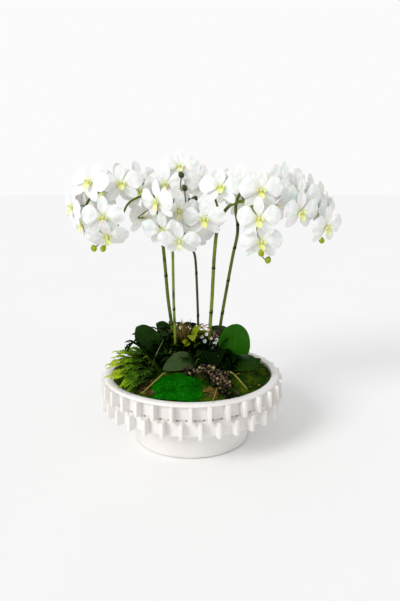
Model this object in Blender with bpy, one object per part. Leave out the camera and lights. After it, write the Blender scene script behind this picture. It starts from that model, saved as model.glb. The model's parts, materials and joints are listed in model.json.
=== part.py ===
"""A bowl of moth orchids: a white ceramic bowl with two rows of fins, filled with foam and mounded with moss.

Leaves, fern, berries and twigs are planted in the moss, and five flower stems stand in holes through it.
The origin is the centre of the bowl's foot, +Z is up, and the front of the arrangement faces -Y. Metres.
"""
import math
import random

import bmesh
import bpy
from mathutils import Matrix, Vector

MM = 0.001
GAP = 0.3 * MM

# Bowl
RIM_RADIUS = 190 * MM
RIM_HEIGHT = 155 * MM
RIM_OUTER = 208 * MM
WALL_RADIUS = 197 * MM
WALL_THICKNESS = 9 * MM
FOOT_RADIUS = 136 * MM
FOOT_HEIGHT = 62 * MM
BASE_THICKNESS = 10 * MM
FIN_COUNT = 33
BOWL_SEGMENTS = FIN_COUNT
FIN_OUTER = 216 * MM
FIN_THICKNESS = 8 * MM
FIN_ROWS = ((80 * MM, 113.5 * MM, 0.5), (115.5 * MM, 149 * MM, 0.0))

# Filling
FOAM_TOP = 118 * MM
MOSS_EDGE_RADIUS = 186 * MM
MOSS_EDGE_HEIGHT = 149 * MM
MOSS_RISE = 37 * MM
MOSS_BUMP = 2.5 * MM
PLANT_DEPTH = 24 * MM
STEM_FOOT = 92 * MM

# Flowers
BLOOM_RADIUS = 46 * MM
PETAL_THICKNESS = 1.0 * MM
STRAIGHT_TO = 440 * MM
PEDICEL_RADIUS = 1.5 * MM
BUD_RADIUS = 7 * MM

# Rows of a lobe in bloom radii: reach from the centre, half width, how far it stands forward
SEPAL_ROWS = ((0.56, 0.22, -0.03), (1.0, 0.09, -0.10))
PETAL_ROWS = ((0.32, 0.22, 0.07), (0.58, 0.45, 0.11), (0.86, 0.43, 0.08), (1.03, 0.18, 0.02))
LIP_ROWS = ((0.26, 0.13, 0.20), (0.44, 0.05, 0.22))
# Lobes in order round the hub: direction, half width of its root, both in degrees, and its rows
LOBES = (
    (12, 24, PETAL_ROWS),
    (90, 16, SEPAL_ROWS),
    (168, 24, PETAL_ROWS),
    (228, 14, SEPAL_ROWS),
    (270, 10, LIP_ROWS),
    (312, 14, SEPAL_ROWS),
)
HUB_RADIUS = 0.13

# Flower stems, all points in millimetres. Each has its radius, its course from the foam up, any side branch,
# its buds and its blooms: place of the centre, yaw to the right, pitch up and roll in degrees.
STEMS = {
    "left": {
        "radius": 4.0,
        "course": ((-42, 15, 200), (-47, 14, 250), (-57, 12, 326), (-68, 6, 458), (-78, 0, 530), (-84, 20, 560),
                   (-98, 36, 588), (-130, 36, 603), (-165, 14, 600), (-195, 2, 590), (-232, -4, 572), (-252, 2, 540)),
        "branch": ((-76, 1, 520), (-86, -14, 562), (-104, -30, 575), (-128, -40, 568), (-146, -44, 553),
                   (-160, -44, 521), (-176, -38, 494), (-192, -34, 474)),
        "buds": (((-221, -50, 457),), ((-200, -48, 456),)),
        "blooms": (
            (-226, -52, 606, -22, 20, -15),
            (-160, -30, 602, 5, 22, 8),
            (-272, -20, 549, -58, -5, -20),
            (-193, -80, 530, -5, -12, 0),
            (-186, -78, 489, 6, -45, 5),
            (-176, 44, 604, 178, 8, 0),
            (-122, 16, 585, 18, 0, 10),
            (-118, 48, 518, 140, -10, 0),
            (-240, 44, 556, -140, 0, 0),
            (-74, -78, 565, -40, -14, 0),
        ),
    },
    "centre_pale": {
        "radius": 3.2,
        "course": ((-38, -25, 200), (-39, -24, 250), (-42, -20, 326), (-44, -12, 436), (-46, 4, 490), (-46, 28, 536),
                   (-42, 46, 572), (-36, 58, 600)),
        "branch": None,
        "buds": (),
        "blooms": (
            (-30, 60, 640, 5, 28, 0),
            (-62, 34, 600, -20, 0, 0),
            (-64, -50, 498, -12, -25, 0),
            (-36, 84, 590, 175, 0, 0),
        ),
    },
    "centre_dark": {
        "radius": 3.0,
        "course": ((14, 30, 200), (15, 29, 250), (13, 24, 330), (9, 14, 417), (-2, 4, 470), (-10, 4, 500),
                   (-10, 14, 536), (-6, 34, 566)),
        "branch": None,
        "buds": (((-13, 2, 545), (-16, -12, 592)), ((8, -6, 566),), ((-16, 2, 548), (-25, 2, 590), (-24, 4, 622))),
        "blooms": (
            (-28, -38, 541, 10, -20, 0),
            (32, 36, 602, 22, 12, 0),
            (6, -14, 484, 18, -30, 0),
        ),
    },
    "right_front": {
        "radius": 4.2,
        "course": ((42, 0, 200), (43, -1, 250), (48, -3, 330), (52, -6, 417), (56, -10, 470), (62, -14, 508),
                   (72, -20, 532), (88, -28, 552), (112, -34, 562), (134, -36, 556), (146, -38, 530),
                   (152, -40, 490), (158, -46, 458)),
        "branch": ((66, -16, 518), (62, -10, 540), (56, -8, 562), (50, -10, 576)),
        "buds": (((158, -56, 446), (155, -80, 450)), ((160, -54, 441), (171, -76, 434))),
        "blooms": (
            (66, -46, 594, -4, 28, 0),
            (30, -64, 526, -8, -20, 0),
            (154, -70, 589, 4, -5, 0),
            (148, -92, 529, 0, -10, 0),
            (157, -64, 474, 6, -12, 0),
            (112, -24, 602, -6, 22, 0),
        ),
    },
    "far_right": {
        "radius": 3.8,
        "course": ((66, 25, 200), (68, 25, 250), (84, 22, 350), (98, 18, 430), (108, 14, 480), (108, 14, 512),
                   (104, 20, 540), (112, 28, 572), (140, 30, 594), (185, 24, 600), (232, 18, 588), (272, 14, 558),
                   (296, 12, 520), (304, 10, 486)),
        "branch": None,
        "buds": (((304, -6, 470),),),
        "blooms": (
            (196, -22, 600, 22, 5, 0),
            (240, -26, 576, 34, 0, 0),
            (276, -20, 548, 44, -5, 0),
            (310, -24, 504, 36, -15, 0),
            (214, 62, 596, 160, 0, 0),
            (292, 52, 548, 140, 0, 0),
            (128, 72, 560, 175, 0, 0),
        ),
    },
}

# Large leaves in millimetres: spine from the planted foot to the tip, the greatest half width, how far across
# the blade the edges rise, and the roll of the blade about its spine in degrees
LEAVES = {
    "leaf_round_right": (((90, -14, 176), (98, -20, 204), (102, -22, 230), (104, -22, 254), (105, -20, 273)),
                         37, 0.15, 100),
    "leaf_low_right": (((88, -42, 172), (104, -50, 184), (126, -58, 190), (146, -62, 192), (158, -66, 204)),
                       22, 0.25, 35),
    "leaf_broad_left": (((-66, -6, 176), (-84, -8, 205), (-104, -10, 232), (-120, -10, 252), (-132, -6, 262)),
                        28, 0.2, -70),
    "leaf_back_left": (((-58, 50, 178), (-60, 54, 204), (-66, 58, 226), (-76, 60, 244), (-90, 62, 252)),
                       22, 0.2, -60),
    "leaf_front": (((12, -62, 178), (-2, -70, 196), (-22, -78, 201), (-44, -84, 195), (-64, -88, 187)),
                   24, 0.15, -35),
    "leaf_centre_dark": (((46, -34, 180), (48, -44, 206), (50, -58, 216), (52, -74, 210), (54, -88, 196)),
                         27, 0.2, 0),
    "leaf_back_right": (((44, 62, 178), (54, 74, 200), (68, 88, 216), (84, 104, 222), (100, 122, 220)),
                        28, 0.2, 20),
    "leaf_young": (((6, -8, 182), (4, -12, 214), (6, -14, 240), (12, -16, 258), (20, -18, 268)), 12, 0.3, 60),
}

# Fern fronds in millimetres: spine from the planted foot to the tip
FRONDS = {
    "frond_back": ((-100, -18, 172), (-106, -22, 190), (-126, -32, 206), (-150, -44, 214), (-172, -56, 217)),
    "frond_high": ((-108, -46, 170), (-114, -50, 186), (-138, -58, 198), (-164, -66, 200), (-186, -74, 194)),
    "frond_low": ((-104, -70, 168), (-112, -76, 181), (-138, -88, 186), (-164, -96, 182), (-184, -102, 176)),
    "frond_front": ((-86, -84, 170), (-94, -92, 182), (-112, -106, 185), (-130, -118, 178), (-146, -130, 168)),
}
FROND_PAIRS = 7
LEAFLET_LENGTH = 17 * MM

# Berry sprays in millimetres: spine, how many berries and how far they stand out
BERRY_SPRAYS = {
    "berries_front": (((30, -72, 172), (34, -84, 186), (46, -104, 184), (60, -130, 176), (72, -156, 166)), 14, 13),
    "berries_back": (((62, -4, 178), (60, -6, 200), (58, -10, 222), (58, -14, 240), (60, -16, 252)), 9, 10),
}
BERRY_RADIUS = 3.6 * MM

# Twigs in millimetres: course and radius
TWIGS = {
    "twig_left": (((-56, -96, 172), (-60, -104, 184), (-72, -122, 179), (-88, -142, 170), (-104, -160, 160)), 1.8),
    "twig_right": (((82, -80, 170), (86, -84, 181), (98, -100, 177), (110, -118, 169), (122, -136, 160)), 1.8),
    "twig_over_rim": (((58, -140, 158), (57, -146, 168), (54, -164, 169), (50, -182, 164), (45, -198, 156)), 0.9),
    "twig_brown": (((-26, -30, 178), (-30, -32, 196), (-46, -38, 202), (-62, -44, 198), (-76, -48, 192)), 1.4),
}

SUCCULENT_FOOT = (-15, 12)
SUCCULENT_SPIKES = 12
TENDRIL = ((-92, -40, 172), (-96, -44, 200), (-108, -48, 222), (-126, -50, 236), (-142, -52, 236), (-150, -54, 228))
MOSS_PATCH = {"centre": (-28, -134), "size": (57, 42), "thickness": 12, "tilt": 20}
BARK = {"centre": (45, -148), "size": (12, 17), "thickness": 5, "tilt": 18}


def clear_scene():
    for obj in list(bpy.data.objects):
        bpy.data.objects.remove(obj, do_unlink=True)


def material(name, color, roughness, metallic=0.0):
    mat = bpy.data.materials.new(name)
    mat.use_nodes = True
    shader = mat.node_tree.nodes["Principled BSDF"]
    shader.inputs["Base Color"].default_value = (*color, 1.0)
    shader.inputs["Roughness"].default_value = roughness
    shader.inputs["Metallic"].default_value = metallic
    mat.diffuse_color = (*color, 1.0)
    return mat


def add_object(name, bm, mat, smooth=False):
    bmesh.ops.remove_doubles(bm, verts=bm.verts, dist=1e-6)
    bmesh.ops.recalc_face_normals(bm, faces=bm.faces)
    for face in bm.faces:
        face.smooth = smooth
    mesh = bpy.data.meshes.new(name)
    bm.to_mesh(mesh)
    bm.free()
    obj = bpy.data.objects.new(name, mesh)
    bpy.context.scene.collection.objects.link(obj)
    if mat:
        mesh.materials.append(mat)
    return obj


def bake(obj):
    """Replace an object's data with the mesh that its modifiers or its curve give."""
    bpy.context.view_layer.update()
    graph = bpy.context.evaluated_depsgraph_get()
    mesh = bpy.data.meshes.new_from_object(obj.evaluated_get(graph))
    mats = [slot for slot in obj.data.materials]
    name = obj.name
    obj.name = name + "_old"
    new = bpy.data.objects.new(name, mesh)
    bpy.context.scene.collection.objects.link(new)
    mesh.materials.clear()
    for mat in mats:
        mesh.materials.append(mat)
    for poly in mesh.polygons:
        poly.material_index = 0
    bpy.data.objects.remove(obj, do_unlink=True)
    return new


def combine(base, others, operation="UNION"):
    """Join or cut closed solids with one Boolean on a collection, which is then emptied."""
    group = bpy.data.collections.new(base.name + "_pieces")
    bpy.context.scene.collection.children.link(group)
    for obj in others:
        for holder in list(obj.users_collection):
            holder.objects.unlink(obj)
        group.objects.link(obj)
    mod = base.modifiers.new("pieces", "BOOLEAN")
    mod.operation = operation
    mod.operand_type = "COLLECTION"
    mod.collection = group
    mod.solver = "EXACT"
    result = bake(base)
    for obj in list(group.objects):
        bpy.data.objects.remove(obj, do_unlink=True)
    bpy.data.collections.remove(group)
    return result


def metres(points):
    return [Vector(p) * MM for p in points]


def smooth_course(points, steps):
    """A smooth course through the points, by Catmull-Rom spans."""
    ends = [points[0] * 2 - points[1], *points, points[-1] * 2 - points[-2]]
    course = []
    for i in range(1, len(ends) - 2):
        p0, p1, p2, p3 = ends[i - 1:i + 3]
        for k in range(steps):
            t = k / steps
            course.append(0.5 * (2 * p1 + (p2 - p0) * t + (2 * p0 - 5 * p1 + 4 * p2 - p3) * t ** 2
                                 + (3 * p1 - p0 - 3 * p2 + p3) * t ** 3))
    course.append(points[-1].copy())
    return course


def tube(name, course, radii, mat=None, sides=6):
    """A closed round stalk along a course, its radius given at each point or once for all."""
    curve = bpy.data.curves.new(name, "CURVE")
    curve.dimensions = "3D"
    curve.bevel_depth = 1.0
    curve.bevel_resolution = (sides - 4) // 2
    curve.use_fill_caps = True
    spline = curve.splines.new("POLY")
    spline.points.add(len(course) - 1)
    for i, point in enumerate(course):
        spline.points[i].co = (*point, 1.0)
        spline.points[i].radius = radii[i] if isinstance(radii, (list, tuple)) else radii
    obj = bpy.data.objects.new(name, curve)
    bpy.context.scene.collection.objects.link(obj)
    mesh_obj = bake(obj)
    bm = bmesh.new()
    bm.from_mesh(mesh_obj.data)
    bpy.data.objects.remove(mesh_obj, do_unlink=True)
    return add_object(name, bm, mat)


def cylinder(name, x, y, bottom, top, radius, sides=8):
    """An upright prism that a round of this radius just fits in."""
    bm = bmesh.new()
    place = Matrix.Translation((x, y, (bottom + top) / 2))
    corner = radius / math.cos(math.pi / sides)
    bmesh.ops.create_cone(bm, cap_ends=True, segments=sides, radius1=corner, radius2=corner,
                          depth=top - bottom, matrix=place)
    return add_object(name, bm, None)


def turned(name, profile, mat, segments):
    """A closed solid turned about Z from an outline that starts and ends on the axis."""
    bm = bmesh.new()
    verts = [bm.verts.new((r, 0.0, z)) for r, z in profile]
    edges = [bm.edges.new(pair) for pair in zip(verts, verts[1:])]
    bmesh.ops.spin(bm, geom=verts + edges, axis=(0, 0, 1), cent=(0, 0, 0), angle=math.tau, steps=segments)
    return add_object(name, bm, mat, smooth=False)


def bowl_outline():
    """Half section of the bowl, from the middle of the foot round the outside to the middle of the floor."""
    wall_in = WALL_RADIUS - WALL_THICKNESS
    foot_in = FOOT_RADIUS - WALL_THICKNESS
    low, high = FIN_ROWS
    return [
        (0, 0),
        (FOOT_RADIUS - 2 * MM, 0),
        (FOOT_RADIUS, 2 * MM),
        (FOOT_RADIUS + 4.5 * MM, FOOT_HEIGHT),
        (FOOT_RADIUS + 20 * MM, FOOT_HEIGHT + 10 * MM),
        (WALL_RADIUS - 4 * MM, low[0] - 3 * MM),
        (WALL_RADIUS, low[0] + 1 * MM),
        (WALL_RADIUS, high[1] - 1 * MM),
        (RIM_OUTER, high[1] - 1 * MM),
        (RIM_OUTER - 2 * MM, RIM_HEIGHT - 1.5 * MM),
        (RIM_OUTER - 10 * MM, RIM_HEIGHT),
        (RIM_RADIUS, RIM_HEIGHT - 2 * MM),
        (wall_in, low[0] + 8 * MM),
        (foot_in + 14 * MM, FOOT_HEIGHT + 18 * MM),
        (foot_in, FOOT_HEIGHT + 4 * MM),
        (foot_in - 6 * MM, BASE_THICKNESS),
        (0, BASE_THICKNESS),
    ]


def fin(name, angle, bottom, top):
    """One slab that stands out from the wall, its root sunk in the wall."""
    root = WALL_RADIUS - WALL_THICKNESS / 2
    bm = bmesh.new()
    bmesh.ops.create_cube(bm, size=1.0)
    bmesh.ops.scale(bm, vec=(FIN_OUTER - root, FIN_THICKNESS, top - bottom), verts=bm.verts)
    bmesh.ops.translate(bm, vec=((FIN_OUTER + root) / 2, 0, (top + bottom) / 2), verts=bm.verts)
    bmesh.ops.rotate(bm, matrix=Matrix.Rotation(angle, 3, "Z"), verts=bm.verts)
    return add_object(name, bm, None)


def make_bowl(mat):
    shell = turned("bowl", bowl_outline(), mat, BOWL_SEGMENTS)
    fins = []
    for row, (bottom, top, shift) in enumerate(FIN_ROWS):
        for i in range(FIN_COUNT):
            angle = math.tau * (i + shift) / FIN_COUNT - math.pi / 2
            fins.append(fin(f"fin_{row}_{i}", angle, bottom, top))
    return combine(shell, fins)


def moss_height(x, y):
    """Top of the moss mound at a place, in metres."""
    away = math.hypot(x, y) / MOSS_EDGE_RADIUS
    bump = math.sin(x * 95 + 1.2) * math.sin(y * 80 - 0.6) + 0.6 * math.sin(x * 190 - y * 150)
    fade = max(0.0, 1 - away ** 4)
    return MOSS_EDGE_HEIGHT + MOSS_RISE * (1 - away ** 2.4) + MOSS_BUMP * bump * fade


def planted():
    """Feet of everything that stands in the moss: place and radius of its hole."""
    feet = []
    for name, (spine, *_) in LEAVES.items():
        feet.append((spine[0], 4.0 if name != "leaf_young" else 3.2))
    for spine in FRONDS.values():
        feet.append((spine[0], 2.8))
    for spine, *_ in BERRY_SPRAYS.values():
        feet.append((spine[0], 2.6))
    for course, radius in TWIGS.values():
        feet.append((course[0], radius + 1.0))
    feet.append(((*SUCCULENT_FOOT, 0), 4.2))
    feet.append((TENDRIL[0], 2.2))
    return feet


def pad_cutter(name, pad, clearance):
    """The pocket that a pad lies in: an oval prism from the pad's flat underside up."""
    matrix = pad_matrix(pad)
    wide, deep = pad["size"]
    bm = bmesh.new()
    bmesh.ops.create_cone(bm, cap_ends=True, segments=16, radius1=1, radius2=1, depth=1)
    bmesh.ops.translate(bm, vec=(0, 0, 0.5), verts=bm.verts)
    bmesh.ops.scale(bm, vec=((wide + clearance) * MM, (deep + clearance) * MM, 60 * MM), verts=bm.verts)
    bmesh.ops.translate(bm, vec=(0, 0, -GAP), verts=bm.verts)
    bmesh.ops.transform(bm, matrix=matrix, verts=bm.verts)
    return add_object(name, bm, None)


def pad_matrix(pad):
    x, y = (v * MM for v in pad["centre"])
    sunk = pad["thickness"] * MM * 0.45
    turn = Matrix.Rotation(math.radians(pad["tilt"]), 4, "X")
    return Matrix.Translation((x, y, moss_height(x, y) - sunk)) @ turn


def make_moss(mat):
    """A mound with a flat underside on the foam, with holes for stems and pockets for the two pads."""
    bm = bmesh.new()
    bottom = FOAM_TOP + GAP
    rings = 4
    segments = 28
    centre = bm.verts.new((0, 0, moss_height(0, 0)))
    loops = []
    for k in range(1, rings + 1):
        radius = MOSS_EDGE_RADIUS * (k / rings) ** 0.9
        loop = []
        for i in range(segments):
            angle = math.tau * (i + 0.5 * (k % 2)) / segments
            x, y = radius * math.cos(angle), radius * math.sin(angle)
            loop.append(bm.verts.new((x, y, moss_height(x, y))))
        loops.append(loop)
    foot = [bm.verts.new((v.co.x, v.co.y, bottom)) for v in loops[-1]]
    for i in range(segments):
        j = (i + 1) % segments
        bm.faces.new((centre, loops[0][i], loops[0][j]))
        bm.faces.new((loops[-1][i], foot[i], foot[j], loops[-1][j]))
    for k, (inner, outer) in enumerate(zip(loops, loops[1:])):
        for i in range(segments):
            j = (i + 1) % segments
            if k % 2 == 0:
                bm.faces.new((inner[i], outer[i], outer[j]))
                bm.faces.new((inner[i], outer[j], inner[j]))
            else:
                bm.faces.new((inner[i], outer[i], inner[j]))
                bm.faces.new((inner[j], outer[i], outer[j]))
    bm.faces.new(foot[::-1])
    mound = add_object("sheet_moss", bm, mat)
    cutters = []
    for i, ((x, y, _), radius) in enumerate(planted()):
        x, y = x * MM, y * MM
        base = moss_height(x, y) - PLANT_DEPTH - 2 * GAP
        cutters.append(cylinder(f"hole_{i}", x, y, base, base + 80 * MM, radius * MM, 4))
    for key, stem in STEMS.items():
        x, y, _ = metres(stem["course"])[0]
        radius = (stem["radius"] + 0.5) * MM
        cutters.append(cylinder(f"hole_{key}", x, y, 100 * MM, 240 * MM, radius, 6))
    cutters.append(pad_cutter("pocket_moss", MOSS_PATCH, 1.0))
    cutters.append(pad_cutter("pocket_bark", BARK, 0.6))
    return combine(mound, cutters, "DIFFERENCE")


def make_foam(mat):
    wall_in = WALL_RADIUS - WALL_THICKNESS - 1 * MM
    foot_in = FOOT_RADIUS - WALL_THICKNESS
    low = FIN_ROWS[0][0]
    outline = [
        (0, BASE_THICKNESS + GAP),
        (foot_in - 14 * MM, BASE_THICKNESS + GAP),
        (foot_in - 7 * MM, BASE_THICKNESS + 6 * MM),
        (foot_in - 3 * MM, FOOT_HEIGHT + 6 * MM),
        (foot_in + 12 * MM, FOOT_HEIGHT + 21 * MM),
        (wall_in - 16 * MM, low + 8 * MM),
        (wall_in - 4 * MM, low + 14 * MM),
        (wall_in - 3 * MM, FOAM_TOP),
        (0, FOAM_TOP),
    ]
    foam = turned("foam_filler", outline, mat, 16)
    cutters = []
    for key, stem in STEMS.items():
        x, y, _ = metres(stem["course"])[0]
        radius = (stem["radius"] + 0.5) * MM
        cutters.append(cylinder(f"hole_{key}", x, y, STEM_FOOT - GAP, FOAM_TOP + 20 * MM, radius))
    return combine(foam, cutters, "DIFFERENCE")


def make_pad(name, pad, mat, bumps):
    """An oval pad with a flat underside and a domed, bumpy top that stands out of its pocket."""
    bm = bmesh.new()
    wide, deep = (v * MM for v in pad["size"])
    thick = pad["thickness"] * MM
    bmesh.ops.create_uvsphere(bm, u_segments=16, v_segments=6, radius=1.0)
    under = [v for v in bm.verts if v.co.z < -0.01]
    bmesh.ops.delete(bm, geom=under, context="VERTS")
    for v in bm.verts:
        ripple = 1 + bumps * math.sin(v.co.x * 9) * math.sin(v.co.y * 8 + 1) * v.co.z
        v.co = Vector((v.co.x * wide, v.co.y * deep, v.co.z * thick * ripple))
    rim = [e for e in bm.edges if e.is_boundary]
    bmesh.ops.contextual_create(bm, geom=rim)
    obj = add_object(name, bm, mat)
    obj.matrix_world = pad_matrix(pad)
    return obj


def leaf_width(t):
    """Width of a leaf blade along its spine, 0 at the foot to 1 at the tip, as a part of the greatest."""
    return max(0.0, math.sin(math.pi * min(1.0, t) ** 0.8)) ** 0.7


def blade(name, course, width_at, rise, roll, thickness, mat, across):
    """A thin blade along a course. Its edges rise on both sides of the spine, and it is one closed solid."""
    bm = bmesh.new()
    rows = []
    count = len(course)
    lie = course[-1] - course[0]
    level = Vector((lie.y, -lie.x, 0)).normalized()
    for i, point in enumerate(course):
        ahead = (course[min(i + 1, count - 1)] - course[max(i - 1, 0)]).normalized()
        side = (level - ahead * level.dot(ahead)).normalized()
        turned_by = roll * min(1.0, i / (0.35 * count))
        side = Matrix.Rotation(math.radians(turned_by), 3, ahead) @ side
        up = side.cross(ahead)
        half = width_at(i / (count - 1))
        row = []
        for k in range(across + 1):
            u = 2 * k / across - 1
            row.append(bm.verts.new(point + side * half * u + up * half * rise * u * u))
        rows.append(row)
    for near, far in zip(rows, rows[1:]):
        for k in range(across):
            bm.faces.new((near[k], near[k + 1], far[k + 1], far[k]))
    bmesh.ops.recalc_face_normals(bm, faces=bm.faces)
    bmesh.ops.solidify(bm, geom=bm.faces[:], thickness=thickness)
    bmesh.ops.triangulate(bm, faces=bm.faces[:])
    return add_object(name, bm, mat)


def planted_course(spine, steps):
    """A smooth course that starts upright in its hole and then follows the spine."""
    points = metres(spine)
    foot = points[0].copy()
    foot.z = moss_height(foot.x, foot.y) - PLANT_DEPTH
    rest = points[1:]
    lift = Vector((foot.x, foot.y, moss_height(foot.x, foot.y) + 2 * MM))
    return [foot] + smooth_course([lift, *rest], steps)


def make_leaf(name, mat):
    spine, half, rise, roll = LEAVES[name]
    course = planted_course(spine, 2)
    neck = 2.4 * MM if name != "leaf_young" else 1.8 * MM

    def width_at(t):
        wide = half * MM * leaf_width(max(0.0, (t - 0.16) / 0.84))
        return max(wide, neck if t < 0.5 else 1.2 * MM)

    return blade(name, course, width_at, rise, roll, 1.6 * MM, mat, across=4 if half > 20 else 2)


def make_frond(name, mat):
    """A frond: a narrow rib with a pair of leaflets at each station, all one sheet given a thickness."""
    bm = bmesh.new()
    course = planted_course(FRONDS[name], 3)
    stations = 2 * FROND_PAIRS + 1
    bare = 4
    body = course[:bare]
    reach = course[bare - 1:]
    line = body[:-1] + resample(reach, stations)
    left = []
    right = []
    for i, point in enumerate(line):
        ahead = (line[min(i + 1, len(line) - 1)] - line[max(i - 1, 0)]).normalized()
        side = Vector((-ahead.y, ahead.x, 0))
        side = side.normalized() if side.length > 0.2 else Vector((0, 1, 0))
        half = 1.4 * MM * (1 - 0.5 * i / len(line))
        left.append((bm.verts.new(point + side * half), side, ahead))
        right.append((bm.verts.new(point - side * half), -side, ahead))
    for i in range(len(line) - 1):
        bm.faces.new((left[i][0], right[i][0], right[i + 1][0], left[i + 1][0]))
    for rail in (left, right):
        for pair in range(FROND_PAIRS):
            i = bare - 1 + 2 * pair
            t = pair / FROND_PAIRS
            reach_out = LEAFLET_LENGTH * math.sin(math.pi * (0.22 + 0.7 * t)) ** 0.8
            add_leaflet(bm, rail[i], rail[i + 1], reach_out)
    bmesh.ops.recalc_face_normals(bm, faces=bm.faces)
    bmesh.ops.solidify(bm, geom=bm.faces[:], thickness=0.9 * MM)
    bmesh.ops.triangulate(bm, faces=bm.faces[:])
    return add_object(name, bm, mat)


def add_leaflet(bm, near, far, length):
    (a, side, ahead), (b, _, _) = near, far
    middle = (a.co + b.co) / 2
    out = (side + ahead * 0.55 + Vector((0, 0, -0.12))).normalized()
    wide = (b.co - a.co).length * 0.85
    first = bm.verts.new(middle + out * length * 0.5 - ahead * wide)
    second = bm.verts.new(middle + out * length * 0.5 + ahead * wide * 0.6)
    tip = bm.verts.new(middle + out * length)
    bm.faces.new((a, first, second, b))
    bm.faces.new((first, tip, second))


def resample(course, count):
    """Points at even steps along a course."""
    marks = [0.0]
    for a, b in zip(course, course[1:]):
        marks.append(marks[-1] + (b - a).length)
    points = []
    for k in range(count):
        want = marks[-1] * k / (count - 1)
        i = max(j for j in range(len(marks)) if marks[j] <= want + 1e-9)
        i = min(i, len(course) - 2)
        t = (want - marks[i]) / (marks[i + 1] - marks[i])
        points.append(course[i].lerp(course[i + 1], t))
    return points


def berry(name, centre, radius):
    bm = bmesh.new()
    bmesh.ops.create_icosphere(bm, subdivisions=1, radius=radius, matrix=Matrix.Translation(centre))
    return add_object(name, bm, None)


def make_berries(name, mat):
    spine, count, spread = BERRY_SPRAYS[name]
    rng = random.Random(name)
    course = planted_course(spine, 2)
    stalk = tube(name, course, 1.3 * MM, mat)
    pieces = []
    line = resample(course[3:], count)
    for i, point in enumerate(line):
        turn = 2.4 * i + rng.uniform(-0.3, 0.3)
        out = Vector((math.cos(turn), 0.6 * math.sin(turn), 0.55 + 0.4 * abs(math.sin(turn)))).normalized()
        tip = point + out * spread * MM * rng.uniform(0.55, 1.0)
        pieces.append(tube(f"{name}_stalk_{i}", [point, tip], 0.8 * MM, sides=4))
        pieces.append(berry(f"{name}_{i}", tip, BERRY_RADIUS * rng.uniform(0.85, 1.15)))
    return combine(stalk, pieces)


def make_succulent(mat):
    """A rosette of narrow spikes on a short stalk."""
    x, y = (v * MM for v in SUCCULENT_FOOT)
    top = moss_height(x, y)
    rng = random.Random("succulent")
    stalk = tube("succulent", [Vector((x, y, top - PLANT_DEPTH)), Vector((x, y, top + 12 * MM)),
                               Vector((x, y, top + 26 * MM))], [3.6 * MM, 3.6 * MM, 7 * MM], mat)
    pieces = []
    for i in range(SUCCULENT_SPIKES):
        turn = math.radians(137.5) * i
        lean = 0.25 + 0.75 * i / SUCCULENT_SPIKES
        out = Vector((math.cos(turn), math.sin(turn), 0))
        length = rng.uniform(44, 56) * MM
        root = Vector((x, y, top + 18 * MM))
        bend = root + out * length * 0.45 * lean + Vector((0, 0, length * 0.5))
        tip = bend + out * length * 0.35 * lean + Vector((0, 0, length * (0.55 - 0.25 * lean)))
        pieces.append(tube(f"spike_{i}", [root, bend, tip], [2.2 * MM, 1.8 * MM, 0.5 * MM], sides=4))
    return combine(stalk, pieces)


def make_tendril(mat):
    course = planted_course(TENDRIL, 2)
    stalk = tube("tendril", course, 1.0 * MM, mat, sides=4)
    pieces = []
    for i in range(4, len(course) - 1, 2):
        ahead = (course[i + 1] - course[i]).normalized()
        side = Vector((-ahead.y, ahead.x, 0.5)).normalized() * (1 if i % 4 else -1)
        tip = course[i] + side * 9 * MM + ahead * 4 * MM
        middle = course[i].lerp(tip, 0.5)
        pieces.append(tube(f"tendril_leaf_{i}", [course[i], middle, tip], [0.6 * MM, 2.4 * MM, 0.5 * MM], sides=4))
    return combine(stalk, pieces)


def make_twig(name, mat):
    spine, radius = TWIGS[name]
    course = planted_course(spine, 2)
    return tube(name, course, radius * MM, mat, sides=6)


def bloom_matrix(place):
    x, y, z, yaw, pitch, roll = place
    yaw, pitch, roll = (math.radians(a) for a in (yaw, pitch, roll))
    facing = Vector((math.sin(yaw) * math.cos(pitch), -math.cos(yaw) * math.cos(pitch), math.sin(pitch)))
    right = Vector((math.cos(yaw), math.sin(yaw), 0))
    up = facing.cross(right)
    turn = Matrix((right, up, facing)).transposed().to_4x4()
    return Matrix.Translation(Vector((x, y, z)) * MM) @ turn @ Matrix.Rotation(roll, 4, "Z")


def grow_lobe(bm, edge, direction, rows):
    """A petal, sepal or lip: the hub's edge is extruded row by row, and each new edge put in its place."""
    out = Vector((math.cos(direction), math.sin(direction), 0))
    across = Vector((-out.y, out.x, 0))
    for reach, half, forward in rows:
        grown = bmesh.ops.extrude_edge_only(bm, edges=[edge])
        edge = next(g for g in grown["geom"] if isinstance(g, bmesh.types.BMEdge))
        middle = out * reach * BLOOM_RADIUS + Vector((0, 0, forward * BLOOM_RADIUS))
        first, second = edge.verts
        if (first.co - second.co).dot(across) > 0:
            first, second = second, first
        first.co = middle - across * half * BLOOM_RADIUS
        second.co = middle + across * half * BLOOM_RADIUS


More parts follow.
